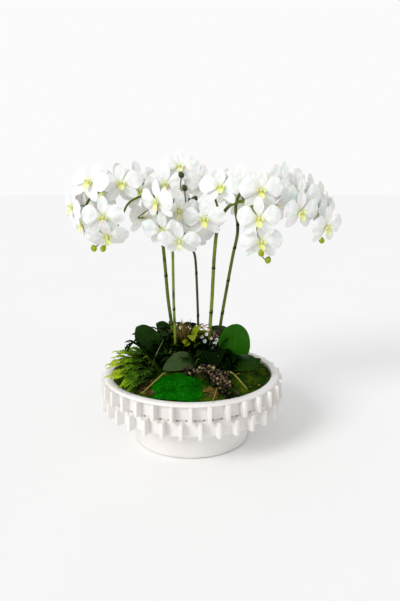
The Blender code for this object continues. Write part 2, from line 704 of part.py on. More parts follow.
def make_bloom(name, place, mat):
    """One flower in its own plane: a small hub with six lobes, a thickness, and a column drawn from the hub."""
    bm = bmesh.new()
    ring = []
    for direction, half, _ in LOBES:
        for angle in (direction - half, direction + half):
            a = math.radians(angle)
            ring.append(bm.verts.new(Vector((math.cos(a), math.sin(a), 0)) * HUB_RADIUS * BLOOM_RADIUS))
    bm.faces.new(ring)
    bm.edges.ensure_lookup_table()
    for i, (direction, _, rows) in enumerate(LOBES):
        edge = bm.edges.get((ring[2 * i], ring[2 * i + 1]))
        grow_lobe(bm, edge, math.radians(direction), rows)
    bmesh.ops.recalc_face_normals(bm, faces=bm.faces)
    if sum(f.normal.z for f in bm.faces) < 0:
        bmesh.ops.reverse_faces(bm, faces=bm.faces)
    bmesh.ops.solidify(bm, geom=bm.faces[:], thickness=PETAL_THICKNESS)
    hub = max((f for f in bm.faces if len(f.verts) == len(ring)), key=lambda f: f.calc_center_median().z)
    column = bmesh.ops.extrude_face_region(bm, geom=[hub])
    tip = [g for g in column["geom"] if isinstance(g, bmesh.types.BMVert)]
    bmesh.ops.delete(bm, geom=[hub], context="FACES_ONLY")
    centre = sum((v.co for v in tip), Vector()) / len(tip)
    bmesh.ops.scale(bm, vec=(0.45, 0.45, 1), space=Matrix.Translation(-centre), verts=tip)
    bmesh.ops.translate(bm, vec=(0, 0.01 * BLOOM_RADIUS, 0.16 * BLOOM_RADIUS), verts=tip)
    bmesh.ops.triangulate(bm, faces=bm.faces[:])
    obj = add_object(name, bm, mat)
    obj.matrix_world = bloom_matrix(place)
    return obj


def flowering_spots(course, start):
    """Places on a course that can carry a pedicel: the middles of its stretches from one on."""
    return [a.lerp(b, 0.4) for a, b in zip(course[start:], course[start + 1:])]


def take_nearest(spots, point):
    spot = min(spots, key=lambda s: (s - point).length)
    spots.remove(spot)
    return spot


def make_stem(key, mat):
    """A flower stem with its side branch, a pedicel up to the back of every bloom, and its end buds."""
    stem = STEMS[key]
    points = metres(stem["course"])
    foot = Vector((points[0].x, points[0].y, STEM_FOOT))
    straight = sum(p.z < STRAIGHT_TO for p in points) - 1
    course = [foot, *points[:straight], *smooth_course(points[straight:], 2)]
    count = len(course)
    radius = stem["radius"] * MM
    radii = [radius * (1 - 0.45 * max(0.0, i / count - 0.4)) for i in range(count)]
    stalk = tube(f"stem_{key}", course, radii, mat)
    pieces = []
    first = next(i for i, p in enumerate(course) if p.z > STRAIGHT_TO)
    spots = flowering_spots(course, first)
    if stem["branch"]:
        side = smooth_course(metres(stem["branch"]), 2)
        pieces.append(tube(f"branch_{key}", side, [radius * 0.75] * len(side)))
        spots += flowering_spots(side, 3)
    for i, place in enumerate(stem["blooms"]):
        matrix = bloom_matrix(place)
        back = matrix @ Vector((0, 0, -GAP - PETAL_THICKNESS))
        behind = matrix @ Vector((0, 0, -16 * MM))
        root = take_nearest(spots, behind)
        pieces.append(tube(f"pedicel_{key}_{i}", [back, behind, root], PEDICEL_RADIUS, sides=4))
    for i, places in enumerate(stem["buds"]):
        way = metres(places)
        root = take_nearest(spots, way[0])
        pieces.append(tube(f"bud_stalk_{key}_{i}", [root, *way], PEDICEL_RADIUS, sides=4))
        bm = bmesh.new()
        bmesh.ops.create_icosphere(bm, subdivisions=1, radius=BUD_RADIUS)
        bmesh.ops.scale(bm, vec=(1, 1, 1.2), verts=bm.verts)
        bmesh.ops.translate(bm, vec=way[-1], verts=bm.verts)
        pieces.append(add_object(f"bud_{key}_{i}", bm, None))
    return combine(stalk, pieces)


def main():
    clear_scene()
    ceramic = material("ceramic", (0.86, 0.86, 0.85), 0.5)
    foam = material("foam", (0.10, 0.22, 0.10), 0.95)
    moss = material("moss", (0.10, 0.13, 0.02), 0.95)
    emerald = material("emerald_moss", (0.01, 0.16, 0.02), 0.95)
    bark = material("bark", (0.20, 0.13, 0.05), 0.9)
    petal = material("petal", (0.88, 0.88, 0.86), 0.55)
    green = material("stem_green", (0.13, 0.22, 0.03), 0.5)
    leaf = material("leaf", (0.02, 0.10, 0.02), 0.4)
    fern = material("fern", (0.10, 0.25, 0.02), 0.6)
    fruit = material("berry", (0.09, 0.05, 0.04), 0.4)
    bronze = material("succulent", (0.16, 0.09, 0.03), 0.6)
    straw = material("twig", (0.45, 0.38, 0.18), 0.8)
    make_bowl(ceramic)
    make_foam(foam)
    make_moss(moss)
    make_pad("emerald_moss", MOSS_PATCH, emerald, 0.12)
    make_pad("bark_chip", BARK, bark, 0.05)
    for name in LEAVES:
        make_leaf(name, leaf)
    for name in FRONDS:
        make_frond(name, fern)
    for name in BERRY_SPRAYS:
        make_berries(name, fruit)
    for name in TWIGS:
        make_twig(name, straw)
    make_succulent(bronze)
    make_tendril(green)
    for key, stem in STEMS.items():
        make_stem(key, green)
        for i, place in enumerate(stem["blooms"]):
            make_bloom(f"bloom_{key}_{i + 1}", place, petal)


main()
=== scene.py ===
"""The looks of a bowl of moth orchids: a finned white bowl, moss and leaves in it, and five flower sprays."""

import json
import random
from math import atan2, cos, hypot, pi, radians, sin, sqrt, tau

import bmesh
import bpy
from mathutils import Matrix, Vector, noise

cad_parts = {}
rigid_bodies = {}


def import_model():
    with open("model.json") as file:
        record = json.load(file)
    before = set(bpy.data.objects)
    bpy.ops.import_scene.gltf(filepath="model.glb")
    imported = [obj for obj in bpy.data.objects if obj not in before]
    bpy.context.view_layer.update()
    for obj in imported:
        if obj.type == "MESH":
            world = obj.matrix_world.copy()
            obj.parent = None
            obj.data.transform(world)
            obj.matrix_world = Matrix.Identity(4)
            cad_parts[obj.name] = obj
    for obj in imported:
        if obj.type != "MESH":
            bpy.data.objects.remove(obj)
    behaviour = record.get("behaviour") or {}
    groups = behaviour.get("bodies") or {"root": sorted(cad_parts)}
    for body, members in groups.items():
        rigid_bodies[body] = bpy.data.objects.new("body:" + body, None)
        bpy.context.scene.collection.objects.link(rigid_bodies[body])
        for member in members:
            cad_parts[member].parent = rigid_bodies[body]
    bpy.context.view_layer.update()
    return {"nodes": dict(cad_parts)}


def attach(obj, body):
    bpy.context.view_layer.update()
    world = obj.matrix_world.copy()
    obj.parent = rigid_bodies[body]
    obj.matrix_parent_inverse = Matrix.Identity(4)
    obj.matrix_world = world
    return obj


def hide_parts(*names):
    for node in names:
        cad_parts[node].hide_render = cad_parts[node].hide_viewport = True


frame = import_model()

MM = 0.001
GAP = 0.3 * MM

# Without a seed the noise that bends twigs and chips would be another one in every run
noise.seed_set(5)

# Bowl
RIM_RADIUS = 190 * MM
RIM_HEIGHT = 155 * MM
RIM_OUTER = 208 * MM
WALL_RADIUS = 197 * MM
WALL_THICKNESS = 9 * MM
FOOT_RADIUS = 136 * MM
FOOT_HEIGHT = 62 * MM
BASE_THICKNESS = 10 * MM
FIN_COUNT = 33
FIN_OUTER = 216 * MM
FIN_THICKNESS = 8 * MM
FIN_ROWS = ((80 * MM, 113.5 * MM, 0.5), (115.5 * MM, 149 * MM, 0.0))
BOWL_SEGMENTS = 4 * FIN_COUNT
GROOVE_HEIGHT = 114.5 * MM
GROOVE_HALF = 2 * MM
GROOVE_DEPTH = 3 * MM
GROOVE_HOLE = 2.8 * MM

# Filling
FOAM_TOP = 118 * MM
MOSS_EDGE_RADIUS = 186 * MM
MOSS_EDGE_HEIGHT = 149 * MM
MOSS_RISE = 37 * MM
MOSS_BUMP = 2.5 * MM
PLANT_DEPTH = 24 * MM
STEM_FOOT = 92 * MM

# Flowers
BLOOM_RADIUS = 46 * MM
PETAL_THICKNESS = 0.7 * MM
CAD_PETAL_THICKNESS = 1.0 * MM
STRAIGHT_TO = 440 * MM
PEDICEL_RADIUS = 1.5 * MM
PEDICEL_REACH = 16 * MM
BUD_RADIUS = 7 * MM

# Flower stems in millimetres: course from the foam up, any side branch, the ways of the bud stalks, and
# blooms, each with the place of its centre, yaw to the right, pitch up and roll in degrees
STEMS = {
    "left": {
        "radius": 4.0,
        "course": ((-42, 15, 200), (-47, 14, 250), (-57, 12, 326), (-68, 6, 458), (-78, 0, 530),
                   (-84, 20, 560), (-98, 36, 588), (-130, 36, 603), (-165, 14, 600), (-195, 2, 590),
                   (-232, -4, 572), (-252, 2, 540)),
        "branch": ((-76, 1, 520), (-86, -14, 562), (-104, -30, 575), (-128, -40, 568), (-146, -44, 553),
                   (-160, -44, 521), (-176, -38, 494), (-192, -34, 474)),
        "buds": (((-221, -50, 457),), ((-200, -48, 456),)),
        "blooms": ((-226, -52, 606, -22, 20, -15), (-160, -30, 602, 5, 22, 8),
                   (-272, -20, 549, -58, -5, -20), (-193, -80, 530, -5, -12, 0),
                   (-186, -78, 489, 6, -45, 5), (-176, 44, 604, 178, 8, 0), (-122, 16, 585, 18, 0, 10),
                   (-118, 48, 518, 140, -10, 0), (-240, 44, 556, -140, 0, 0), (-74, -78, 565, -40, -14, 0)),
    },
    "centre_pale": {
        "radius": 3.2,
        "course": ((-38, -25, 200), (-39, -24, 250), (-42, -20, 326), (-44, -12, 436), (-46, 4, 490),
                   (-46, 28, 536), (-42, 46, 572), (-36, 58, 600)),
        "branch": None,
        "buds": (),
        "blooms": ((-30, 60, 640, 5, 28, 0), (-62, 34, 600, -20, 0, 0), (-64, -50, 498, -12, -25, 0),
                   (-36, 84, 590, 175, 0, 0)),
    },
    "centre_dark": {
        "radius": 3.0,
        "course": ((14, 30, 200), (15, 29, 250), (13, 24, 330), (9, 14, 417), (-2, 4, 470), (-10, 4, 500),
                   (-10, 14, 536), (-6, 34, 566)),
        "branch": None,
        "buds": (((-13, 2, 545), (-16, -12, 592)), ((8, -6, 566),),
                 ((-16, 2, 548), (-25, 2, 590), (-24, 4, 622))),
        "blooms": ((-28, -38, 541, 10, -20, 0), (32, 36, 602, 22, 12, 0), (6, -14, 484, 18, -30, 0)),
    },
    "right_front": {
        "radius": 4.2,
        "course": ((42, 0, 200), (43, -1, 250), (48, -3, 330), (52, -6, 417), (56, -10, 470),
                   (62, -14, 508), (72, -20, 532), (88, -28, 552), (112, -34, 562), (134, -36, 556),
                   (146, -38, 530), (152, -40, 490), (158, -46, 458)),
        "branch": ((66, -16, 518), (62, -10, 540), (56, -8, 562), (50, -10, 576)),
        "buds": (((158, -56, 446), (155, -80, 450)), ((160, -54, 441), (171, -76, 434))),
        "blooms": ((66, -46, 594, -4, 28, 0), (30, -64, 526, -8, -20, 0), (154, -70, 589, 4, -5, 0),
                   (148, -92, 529, 0, -10, 0), (157, -64, 474, 6, -12, 0), (112, -24, 602, -6, 22, 0)),
    },
    "far_right": {
        "radius": 3.8,
        "course": ((66, 25, 200), (68, 25, 250), (84, 22, 350), (98, 18, 430), (108, 14, 480),
                   (108, 14, 512), (104, 20, 540), (112, 28, 572), (140, 30, 594), (185, 24, 600),
                   (232, 18, 588), (272, 14, 558), (296, 12, 520), (304, 10, 486)),
        "branch": None,
        "buds": (((304, -6, 470),),),
        "blooms": ((196, -22, 600, 22, 5, 0), (240, -26, 576, 34, 0, 0), (276, -20, 548, 44, -5, 0),
                   (310, -24, 504, 36, -15, 0), (214, 62, 596, 160, 0, 0), (292, 52, 548, 140, 0, 0),
                   (128, 72, 560, 175, 0, 0)),
    },
}
# More blooms behind and between, in the same terms, that only the looks have
EXTRA_BLOOMS = {
    "left": ((-209, 30, 586, -30, 5, 0), (-258, 6, 508, -50, -15, 10), (-133, 84, 610, 28, 12, 5),
             (-222, 22, 488, -20, -25, 0), (-258, 30, 533, -25, -5, 5)),
    "centre_pale": ((-52, 6, 540, -25, -10, 0), (-48, 40, 489, -8, -20, 0)),
    "centre_dark": ((-25, -84, 479, -10, -35, 0),),
    "right_front": ((88, 40, 592, 15, 10, 0),),
    "far_right": ((216, 8, 598, 25, 15, 0), (284, 30, 578, 40, 0, 0), (243, -62, 541, 30, -12, 0),
                  (318, 20, 536, 60, -5, 0), (197, 47, 547, 20, -15, 0), (228, 60, 609, 12, 10, 0),
                  (252, -30, 572, 22, -5, 5), (303, 48, 542, 18, -8, 0)),
}
# Dark joints on the stems, as heights above the floor
STEM_JOINTS = {"left": (262, 372, 543), "centre_pale": (300, 452), "centre_dark": (270, 370, 492),
               "right_front": (290, 399, 527), "far_right": (268, 351, 446, 503)}

# Large leaves in millimetres: spine from the planted foot to the tip, the greatest half width, how far across
# the blade the edges rise, and the roll of the blade about its spine in degrees
LEAVES = {
    "leaf_round_right": (((90, -14, 176), (98, -20, 204), (102, -22, 230), (104, -22, 254),
                         (105, -20, 273)), 37, 0.15, 100),
    "leaf_low_right": (((88, -42, 172), (104, -50, 184), (126, -58, 190), (146, -62, 192),
                       (158, -66, 204)), 22, 0.25, 35),
    "leaf_broad_left": (((-66, -6, 176), (-84, -8, 205), (-104, -10, 232), (-120, -10, 252),
                        (-132, -6, 262)), 28, 0.2, -70),
    "leaf_back_left": (((-58, 50, 178), (-60, 54, 204), (-66, 58, 226), (-76, 60, 244), (-90, 62, 252)), 22,
                       0.2, -60),
    "leaf_front": (((12, -62, 178), (-2, -70, 196), (-22, -78, 201), (-44, -84, 195), (-64, -88, 187)), 24,
                   0.15, -35),
    "leaf_centre_dark": (((46, -34, 180), (48, -44, 206), (50, -58, 216), (52, -74, 210), (54, -88, 196)),
                         27, 0.2, 0),
    "leaf_back_right": (((44, 62, 178), (54, 74, 200), (68, 88, 216), (84, 104, 222), (100, 122, 220)), 28,
                        0.2, 20),
    "leaf_young": (((6, -8, 182), (4, -12, 214), (6, -14, 240), (12, -16, 258), (20, -18, 268)), 12, 0.3,
                   60),
}

# Fern fronds in millimetres: spine from the planted foot to the tip
FRONDS = {
    "frond_back": ((-100, -18, 172), (-106, -22, 190), (-126, -32, 206), (-150, -44, 214),
                   (-172, -56, 217)),
    "frond_high": ((-108, -46, 170), (-114, -50, 186), (-138, -58, 198), (-164, -66, 200),
                   (-186, -74, 194)),
    "frond_low": ((-104, -70, 168), (-112, -76, 181), (-138, -88, 186), (-164, -96, 182),
                  (-184, -102, 176)),
    "frond_front": ((-86, -84, 170), (-94, -92, 182), (-112, -106, 185), (-130, -118, 178),
                    (-146, -130, 168)),
}
FROND_PAIRS = 12
LEAFLET_LENGTH = 21 * MM

# Berry sprays in millimetres: spine, how many berries and how far they stand out
BERRY_SPRAYS = {
    "berries_front": (((30, -72, 172), (34, -84, 186), (46, -104, 184), (60, -130, 176), (72, -156, 166)),
                      60, 20),
    "berries_back": (((62, -4, 178), (60, -6, 200), (58, -10, 222), (58, -14, 240), (60, -16, 252)), 26,
                     12),
}
BERRY_RADIUS = 3.6 * MM

# Twigs in millimetres: course and radius
TWIGS = {
    "twig_left": (((-56, -96, 172), (-60, -104, 184), (-72, -122, 179), (-88, -142, 170),
                  (-104, -160, 160)), 1.8),
    "twig_right": (((82, -80, 170), (86, -84, 181), (98, -100, 177), (110, -118, 169), (122, -136, 160)),
                   1.8),
    "twig_over_rim": (((58, -140, 158), (57, -146, 168), (54, -164, 169), (50, -182, 164),
                      (45, -198, 156)), 0.9),
    "twig_brown": (((-26, -30, 178), (-30, -32, 196), (-46, -38, 202), (-62, -44, 198), (-76, -48, 192)),
                   1.4),
}

SUCCULENT_FOOT = (-15, 12)
SUCCULENT_SPIKES = 96
SPIKE_TURN = radians(137.5)
TENDRIL = ((-92, -40, 172), (-96, -44, 200), (-108, -48, 222), (-126, -50, 236), (-142, -52, 236),
           (-150, -54, 228))
TENDRIL_ARCS = (((-109, -54, 214), (-121, -53, 230), (-132, -52, 238), (-142, -51, 242), (-154, -50, 238)),
                ((-132, -52, 239), (-128, -50, 244), (-117, -48, 250)),
                ((-134, -52, 238), (-143, -52, 229), (-150, -52, 212)))
TENDRIL_LEAVES = 14
# Thin pale blades of grass: foot on the ground and tip
GRASS = (((-97, -62), (-64, -60, 247)), ((-60, -34), (-44, -40, 226)), ((70, -60), (60, -74, 214)))
MOSS_PATCH = {"centre": (-28, -134), "size": (57, 42), "thickness": 12, "tilt": 20}
# The same moss down to the rim
EMERALD_EDGE = {"centre": (-29, -160), "size": (56, 30), "thickness": 8}
BARK = {"centre": (45, -148), "size": (12, 17), "thickness": 5, "tilt": 18}
# Tufts of moss: sprigs in one, their height and half width, and how many tufts of each kind stand there
SHEET_TUFT, SHEET_TUFTS = (6, 4.2 * MM, 0.55 * MM), 1500
EMERALD_TUFT, EMERALD_TUFTS, EDGE_TUFTS = (6, 2.6 * MM, 0.42 * MM), 2600, 1500
CLUB_TUFT, CLUB_TUFTS = (7, 13 * MM, 1.0 * MM), 420
CLUB_MIDDLE, CLUB_SIZE = (0, 12), (132, 92)

# Small fronds that thicken the fern: place of the foot and place of the tip
FERN_FILL = (((-104, -46), (-149, -50, 213)), ((-98, -38), (-139, -32, 208)),
             ((-112, -60), (-179, -66, 206)), ((-110, -74), (-185, -88, 190)),
             ((-106, -88), (-175, -110, 176)), ((-98, -100), (-154, -135, 165)),
             ((-90, -112), (-133, -150, 163)), ((-88, -48), (-104, -66, 206)),
             ((-92, -56), (-121, -78, 204)), ((-84, -66), (-98, -92, 182)), ((-92, -92), (-114, -124, 176)),
             ((-96, -64), (-157, -80, 200)), ((-100, -80), (-137, -112, 182)),
             ((-110, -30), (-160, -20, 209)), ((-104, -16), (-150, 4, 206)),
             ((-116, -94), (-166, -118, 178)), ((-84, -84), (-104, -108, 178)),
             ((-90, -40), (-128, -62, 216)), ((-86, -30), (-112, -40, 214)),
             ((-104, -56), (-168, -52, 212)), ((-108, -66), (-182, -78, 196)),
             ((-98, -72), (-150, -98, 190)), ((-90, -74), (-126, -96, 192)),
             ((-80, -76), (-112, -110, 180)), ((-92, -104), (-140, -138, 168)),
             ((-78, -60), (-92, -80, 200)))
# Seed heads in front: patches of ground as centre, half size and how many stand there
SEED_PATCHES = (((14, -98), (28, 16), 17), ((52, -106), (28, 24), 22), ((70, -138), (18, 20), 15),
                ((82, -160), (10, 8), 8))
# Little white and pink flowers at the back, places of their centres
FLORETS = ((29, -5, 263), (34, -13, 247), (31, -15, 230), (47, -13, 236), (54, -19, 225), (48, -21, 217),
           (62, -15, 244), (59, -17, 233), (24, -11, 239), (40, -7, 255))
# Lime leaves at the back: foot, tip of the stalk, length and width
LIME_LEAVES = (((2, -16), (2, -16, 246), 30, 22), ((10, -12), (16, -14, 250), 26, 20),
               ((-2, -18), (-6, -22, 232), 24, 18), ((-94, -60), (-99, -62, 206), 13, 11),
               ((22, -6), (24, -2, 246), 18, 12))
# Dry chips on the moss: middle and half size of the ground, and how many
CHIP_PATCHES = (((-98, -126), (30, 24), 64), ((44, -156), (16, 16), 34), ((-92, -150), (16, 9), 20),
                ((60, -10), (120, 150), 40))
# Filling leaves, most in the near-black leaf colour of painted shade: middle and half size of the ground they
# cover, how many, shortest and longest stalk and leaf, and how steeply the leaves stand
LEAF_FILL = (((-16, 4), (82, 58), 50, (8, 30), (22, 34), (-0.45, 0.5)),
             ((6, 44), (100, 56), 64, (22, 56), (24, 38), (-0.45, 0.5)),
             ((60, -22), (54, 40), 52, (6, 26), (22, 32), (-0.45, 0.4)),
             ((-60, -10), (34, 38), 34, (8, 36), (20, 30), (-0.2, 0.8)),
             ((0, 96), (122, 46), 78, (6, 26), (24, 36), (-0.45, 0.5)),
             ((-8, -30), (60, 34), 34, (6, 26), (20, 30), (-0.45, 0.5)),
             ((-4, 8), (62, 34), 64, (16, 42), (24, 36), (0.3, 1.6)),
             ((-84, 46), (15, 12), 18, (50, 62), (22, 30), (0, 0.6)),
             ((-26, 34), (36, 12), 44, (48, 70), (18, 28), (0, 0.8)),
             ((34, 38), (28, 14), 30, (40, 62), (18, 28), (0, 0.8)),
             ((56, 60), (28, 20), 22, (14, 40), (20, 30), (0, 0.8)))

# Camera: sensor height and focal length in millimetres, place in metres, pitch in degrees from straight down,
# and the shift of the picture in sensor heights
SENSOR = 36
LENS = 34.56
CAMERA_PLACE = (0.0195, -1.346, 0.633)
CAMERA_PITCH = 84
CAMERA_SHIFT = -0.1162

# Light: even light from all round and as the camera sees it, and the key light with its softness in degrees
WORLD_LIGHT = 0.715
BACKDROP_LIGHT = 0.965
KEY_FROM = (-0.62, -0.6, 0.54)
KEY_SOFTNESS = 24
KEY_STRENGTH = 1.65
FLOOR_RADIUS = 14

UP = Vector((0, 0, 1))
# How many copies of a small mesh are laid before they are poured into their piece
BATCH = 60


# Camera, light and floor

def put_in_scene(name, data):
    obj = bpy.data.objects.new(name, data)
    bpy.context.scene.collection.objects.link(obj)
    return obj


def set_camera():
    cam = bpy.data.cameras.new("camera")
    cam.sensor_fit = "VERTICAL"
    cam.sensor_height = SENSOR
    cam.lens = LENS
    cam.shift_y = CAMERA_SHIFT
    obj = put_in_scene("camera", cam)
    obj.location = CAMERA_PLACE
    obj.rotation_euler = (radians(CAMERA_PITCH), 0, 0)
    bpy.context.scene.camera = obj


def set_light():
    """Even white surroundings, paler still behind the object, and one soft key light from the left."""
    world = bpy.data.worlds.new("studio")
    bpy.context.scene.world = world
    world.use_nodes = True
    tree = world.node_tree
    sky = tree.nodes["Background"]
    sky.inputs["Color"].default_value = (1.0, 1.0, 1.0, 1.0)
    seen = tree.nodes.new("ShaderNodeLightPath")
    strength = tree.nodes.new("ShaderNodeMapRange")
    strength.inputs["To Min"].default_value = WORLD_LIGHT
    strength.inputs["To Max"].default_value = BACKDROP_LIGHT
    tree.links.new(seen.outputs["Is Camera Ray"], strength.inputs["Value"])
    tree.links.new(strength.outputs["Result"], sky.inputs["Strength"])
    key = bpy.data.lights.new("soft_left", "SUN")
    key.angle = radians(KEY_SOFTNESS)
    key.energy = KEY_STRENGTH
    put_in_scene("soft_left", key).rotation_euler = Vector(KEY_FROM).to_track_quat("Z", "Y").to_euler()
    view = bpy.context.scene.view_settings
    view.view_transform = "Standard"
    view.look = "None"


def lay_floor():
    bm = bmesh.new()
    bmesh.ops.create_circle(bm, cap_ends=True, segments=96, radius=FLOOR_RADIUS)
    obj = put_in_scene("floor", mesh_of(bm, "floor"))
    obj.data.materials.append(floor_finish())


# Materials

class Finish:
    """A material under construction: its node tree, with short ways to add the nodes that patterns need."""

    def __init__(self, name, roughness, **settings):
        self.mat = bpy.data.materials.new(name)
        self.mat.use_nodes = True
        self.tree = self.mat.node_tree
        self.shader = self.tree.nodes["Principled BSDF"]
        self.shader.inputs["Roughness"].default_value = roughness
        for key, value in settings.items():
            self.shader.inputs[key.replace("_", " ")].default_value = value
        self.place = self.add("ShaderNodeTexCoord")

    def add(self, kind, **values):
        node = self.tree.nodes.new(kind)
        for key, value in values.items():
            if key in node.inputs:
                node.inputs[key].default_value = value
            else:
                setattr(node, key, value)
        return node

    def link(self, start, end):
        self.tree.links.new(start, end)

    def coords(self, kind="Object", stretch=(1, 1, 1)):
        mapping = self.add("ShaderNodeMapping")
        mapping.inputs["Scale"].default_value = stretch
        self.link(self.place.outputs[kind], mapping.inputs["Vector"])
        return mapping.outputs["Vector"]

    def noise(self, scale, detail=3.0, rough=0.55, kind="Object", stretch=(1, 1, 1)):
        node = self.add("ShaderNodeTexNoise", Scale=scale, Detail=detail, Roughness=rough)
        self.link(self.coords(kind, stretch), node.inputs["Vector"])
        return node.outputs["Fac"]

    def ramp(self, fac, *stops):
        node = self.add("ShaderNodeValToRGB")
        points = node.color_ramp.elements
        while len(points) < len(stops):
            points.new(1.0)
        for point, (at, color) in zip(points, stops):
            point.position = at
            point.color = (*color, 1.0)
        self.link(fac, node.inputs["Fac"])
        return node.outputs["Color"]

    def mix(self, fac, first, second, blend="MIX"):
        node = self.add("ShaderNodeMix", data_type="RGBA", blend_type=blend)
        for value, socket in ((fac, node.inputs[0]), (first, node.inputs[6]), (second, node.inputs[7])):
            if isinstance(value, (int, float)):
                socket.default_value = value
            elif isinstance(value, tuple):
                socket.default_value = (*value, 1.0)
            else:
                self.link(value, socket)
        return node.outputs[2]

    def math(self, operation, *values, clamp=False):
        node = self.add("ShaderNodeMath", operation=operation, use_clamp=clamp)
        for value, socket in zip(values, node.inputs):
            if isinstance(value, (int, float)):
                socket.default_value = value
            else:
                self.link(value, socket)
        return node.outputs[0]

    def uv(self):
        """The piece's own UV map: across the sheet and along it."""
        parts = self.add("ShaderNodeSeparateXYZ")
        self.link(self.place.outputs["UV"], parts.inputs["Vector"])
        return parts.outputs["X"], parts.outputs["Y"]

    def paint(self, color):
        self.link(color, self.shader.inputs["Base Color"])
        return self

    def rough(self, fac, low, high):
        node = self.add("ShaderNodeMapRange")
        node.inputs["To Min"].default_value = low
        node.inputs["To Max"].default_value = high
        self.link(fac, node.inputs["Value"])
        self.link(node.outputs["Result"], self.shader.inputs["Roughness"])
        return self

    def bump(self, height, strength, distance=0.001):
        node = self.add("ShaderNodeBump", Strength=strength, Distance=distance)
        self.link(height, node.inputs["Height"])
        last = self.shader.inputs["Normal"]
        if last.is_linked:
            self.link(last.links[0].from_socket, node.inputs["Normal"])
        self.link(node.outputs["Normal"], last)
        return self


def ceramic_finish():
    """Matte white glaze, a touch warmer in slow clouds, with fine grit and the waves of a cast body."""
    f = Finish("white_glaze", 0.42, Coat_Weight=0.12, Coat_Roughness=0.35)
    cloud = f.noise(11, 4)
    grit = f.noise(900, 2)
    f.paint(f.ramp(cloud, (0.3, (0.77, 0.735, 0.70)), (0.7, (0.85, 0.83, 0.81))))
    f.rough(f.noise(60, 3), 0.36, 0.56)
    f.bump(cloud, 0.25, 0.002)
    return f.bump(grit, 0.12, 0.0004).mat


def floor_finish():
    """Pale matte floor with the faintest unevenness."""
    f = Finish("floor_white", 0.9)
    cloud = f.noise(2.5, 3)
    f.paint(f.ramp(cloud, (0.3, (0.938, 0.938, 0.938)), (0.7, (0.948, 0.948, 0.946))))
    f.rough(cloud, 0.86, 0.94)
    return f.bump(f.noise(300, 2), 0.05, 0.0003).mat


def moss_finish(name, stops, grain):
    """Moss: soft patches and fine grain blended, through the colour stops from hollow to tip."""
    f = Finish(name, 0.95, Specular_IOR_Level=0.06)
    patches = f.noise(26, 5, 0.65)
    fine = f.noise(grain, 4, 0.7)
    blend = f.math("ADD", f.math("MULTIPLY", patches, 0.62), f.math("MULTIPLY", fine, 0.38))
    f.paint(f.ramp(blend, *stops))
    f.rough(fine, 0.85, 1.0)
    return f.bump(fine, 0.8, 0.0015).mat


def leaf_finish(name, dark, light, edge, gloss, veins=14, shine=0.3, coat=0.02):
    """A waxy leaf: a pale midrib, partly its own tone and partly painted highlight, side veins that slope to
    the tip, blotches, and a thin lighter edge that is a painted highlight.
    """
    f = Finish(name, gloss, Coat_Weight=coat, Coat_Roughness=0.28, Specular_IOR_Level=shine)
    across, along = f.uv()
    away = f.math("ABSOLUTE", f.math("SUBTRACT", across, 0.5))
    slope = f.math("SUBTRACT", along, f.math("MULTIPLY", away, 0.55))
    wave = f.math("SINE", f.math("MULTIPLY", slope, veins * tau))
    vein = f.math("SMOOTH_MIN", f.math("POWER", f.math("ABSOLUTE", wave), 0.35), 1.0, 0.1)
    cloud = f.noise(30, 4)
    body = f.mix(cloud, dark, light)
    body = f.mix(f.math("MULTIPLY", f.math("SUBTRACT", 1.0, vein), 0.35, clamp=True), body, light)
    # The edge colour is a painted highlight; the midrib takes a little of it over its own paler tone
    rib = f.math("LESS_THAN", away, 0.016)
    body = f.mix(f.math("MULTIPLY", rib, 0.28), body, edge)
    # Painted highlight: a thin lighter rim all round the blade
    rim = f.math("GREATER_THAN", away, 0.475)
    f.paint(f.mix(f.math("MULTIPLY", rim, 0.6), body, edge))
    f.rough(f.noise(45, 3), gloss - 0.08, gloss + 0.14)
    f.bump(vein, 0.25, 0.0008)
    return f.bump(f.noise(420, 2), 0.12, 0.0004).mat


def fern_finish():
    """Fern: darker towards the heart of the clump with painted shade, lime at its outer tips, with a pale
    midrib on each leaflet.
    """
    f = Finish("fern_leaf", 0.5, Specular_IOR_Level=0.1)
    parts = f.add("ShaderNodeSeparateXYZ")
    f.link(f.coords(), parts.inputs["Vector"])
    # Painted shade: leaflets nearer the middle of the bowl, in the heart of the clump, darken towards
    # near-black
    outward = f.math("DIVIDE", f.math("SUBTRACT", -0.112, parts.outputs["X"]), 0.07, clamp=True)
    cloud = f.noise(70, 3, 0.5)
    share = f.math("ADD", f.math("MULTIPLY", outward, 0.6), f.math("MULTIPLY", cloud, 0.6), clamp=True)
    body = f.ramp(share, (0.26, (0.006, 0.028, 0.001)), (0.45, (0.035, 0.115, 0.001)),
                  (0.62, (0.12, 0.24, 0.002)), (0.85, (0.42, 0.52, 0.02)))
    across, _ = f.uv()
    rib = f.math("LESS_THAN", f.math("ABSOLUTE", f.math("SUBTRACT", across, 0.5)), 0.06)
    f.paint(f.mix(f.math("MULTIPLY", rib, 0.35), body, (0.26, 0.38, 0.01)))
    f.rough(cloud, 0.42, 0.66)
    return f.bump(f.noise(500, 3), 0.3, 0.0005).mat


def foam_finish():
    """Florist's foam: green, powdery, full of fine cells."""
    f = Finish("floral_foam", 0.95, Specular_IOR_Level=0.1)
    cells = f.noise(1500, 3, 0.7)
    f.paint(f.ramp(cells, (0.35, (0.03, 0.08, 0.04)), (0.65, (0.06, 0.14, 0.07))))
    f.rough(cells, 0.9, 1.0)
    return f.bump(cells, 0.6, 0.0006).mat


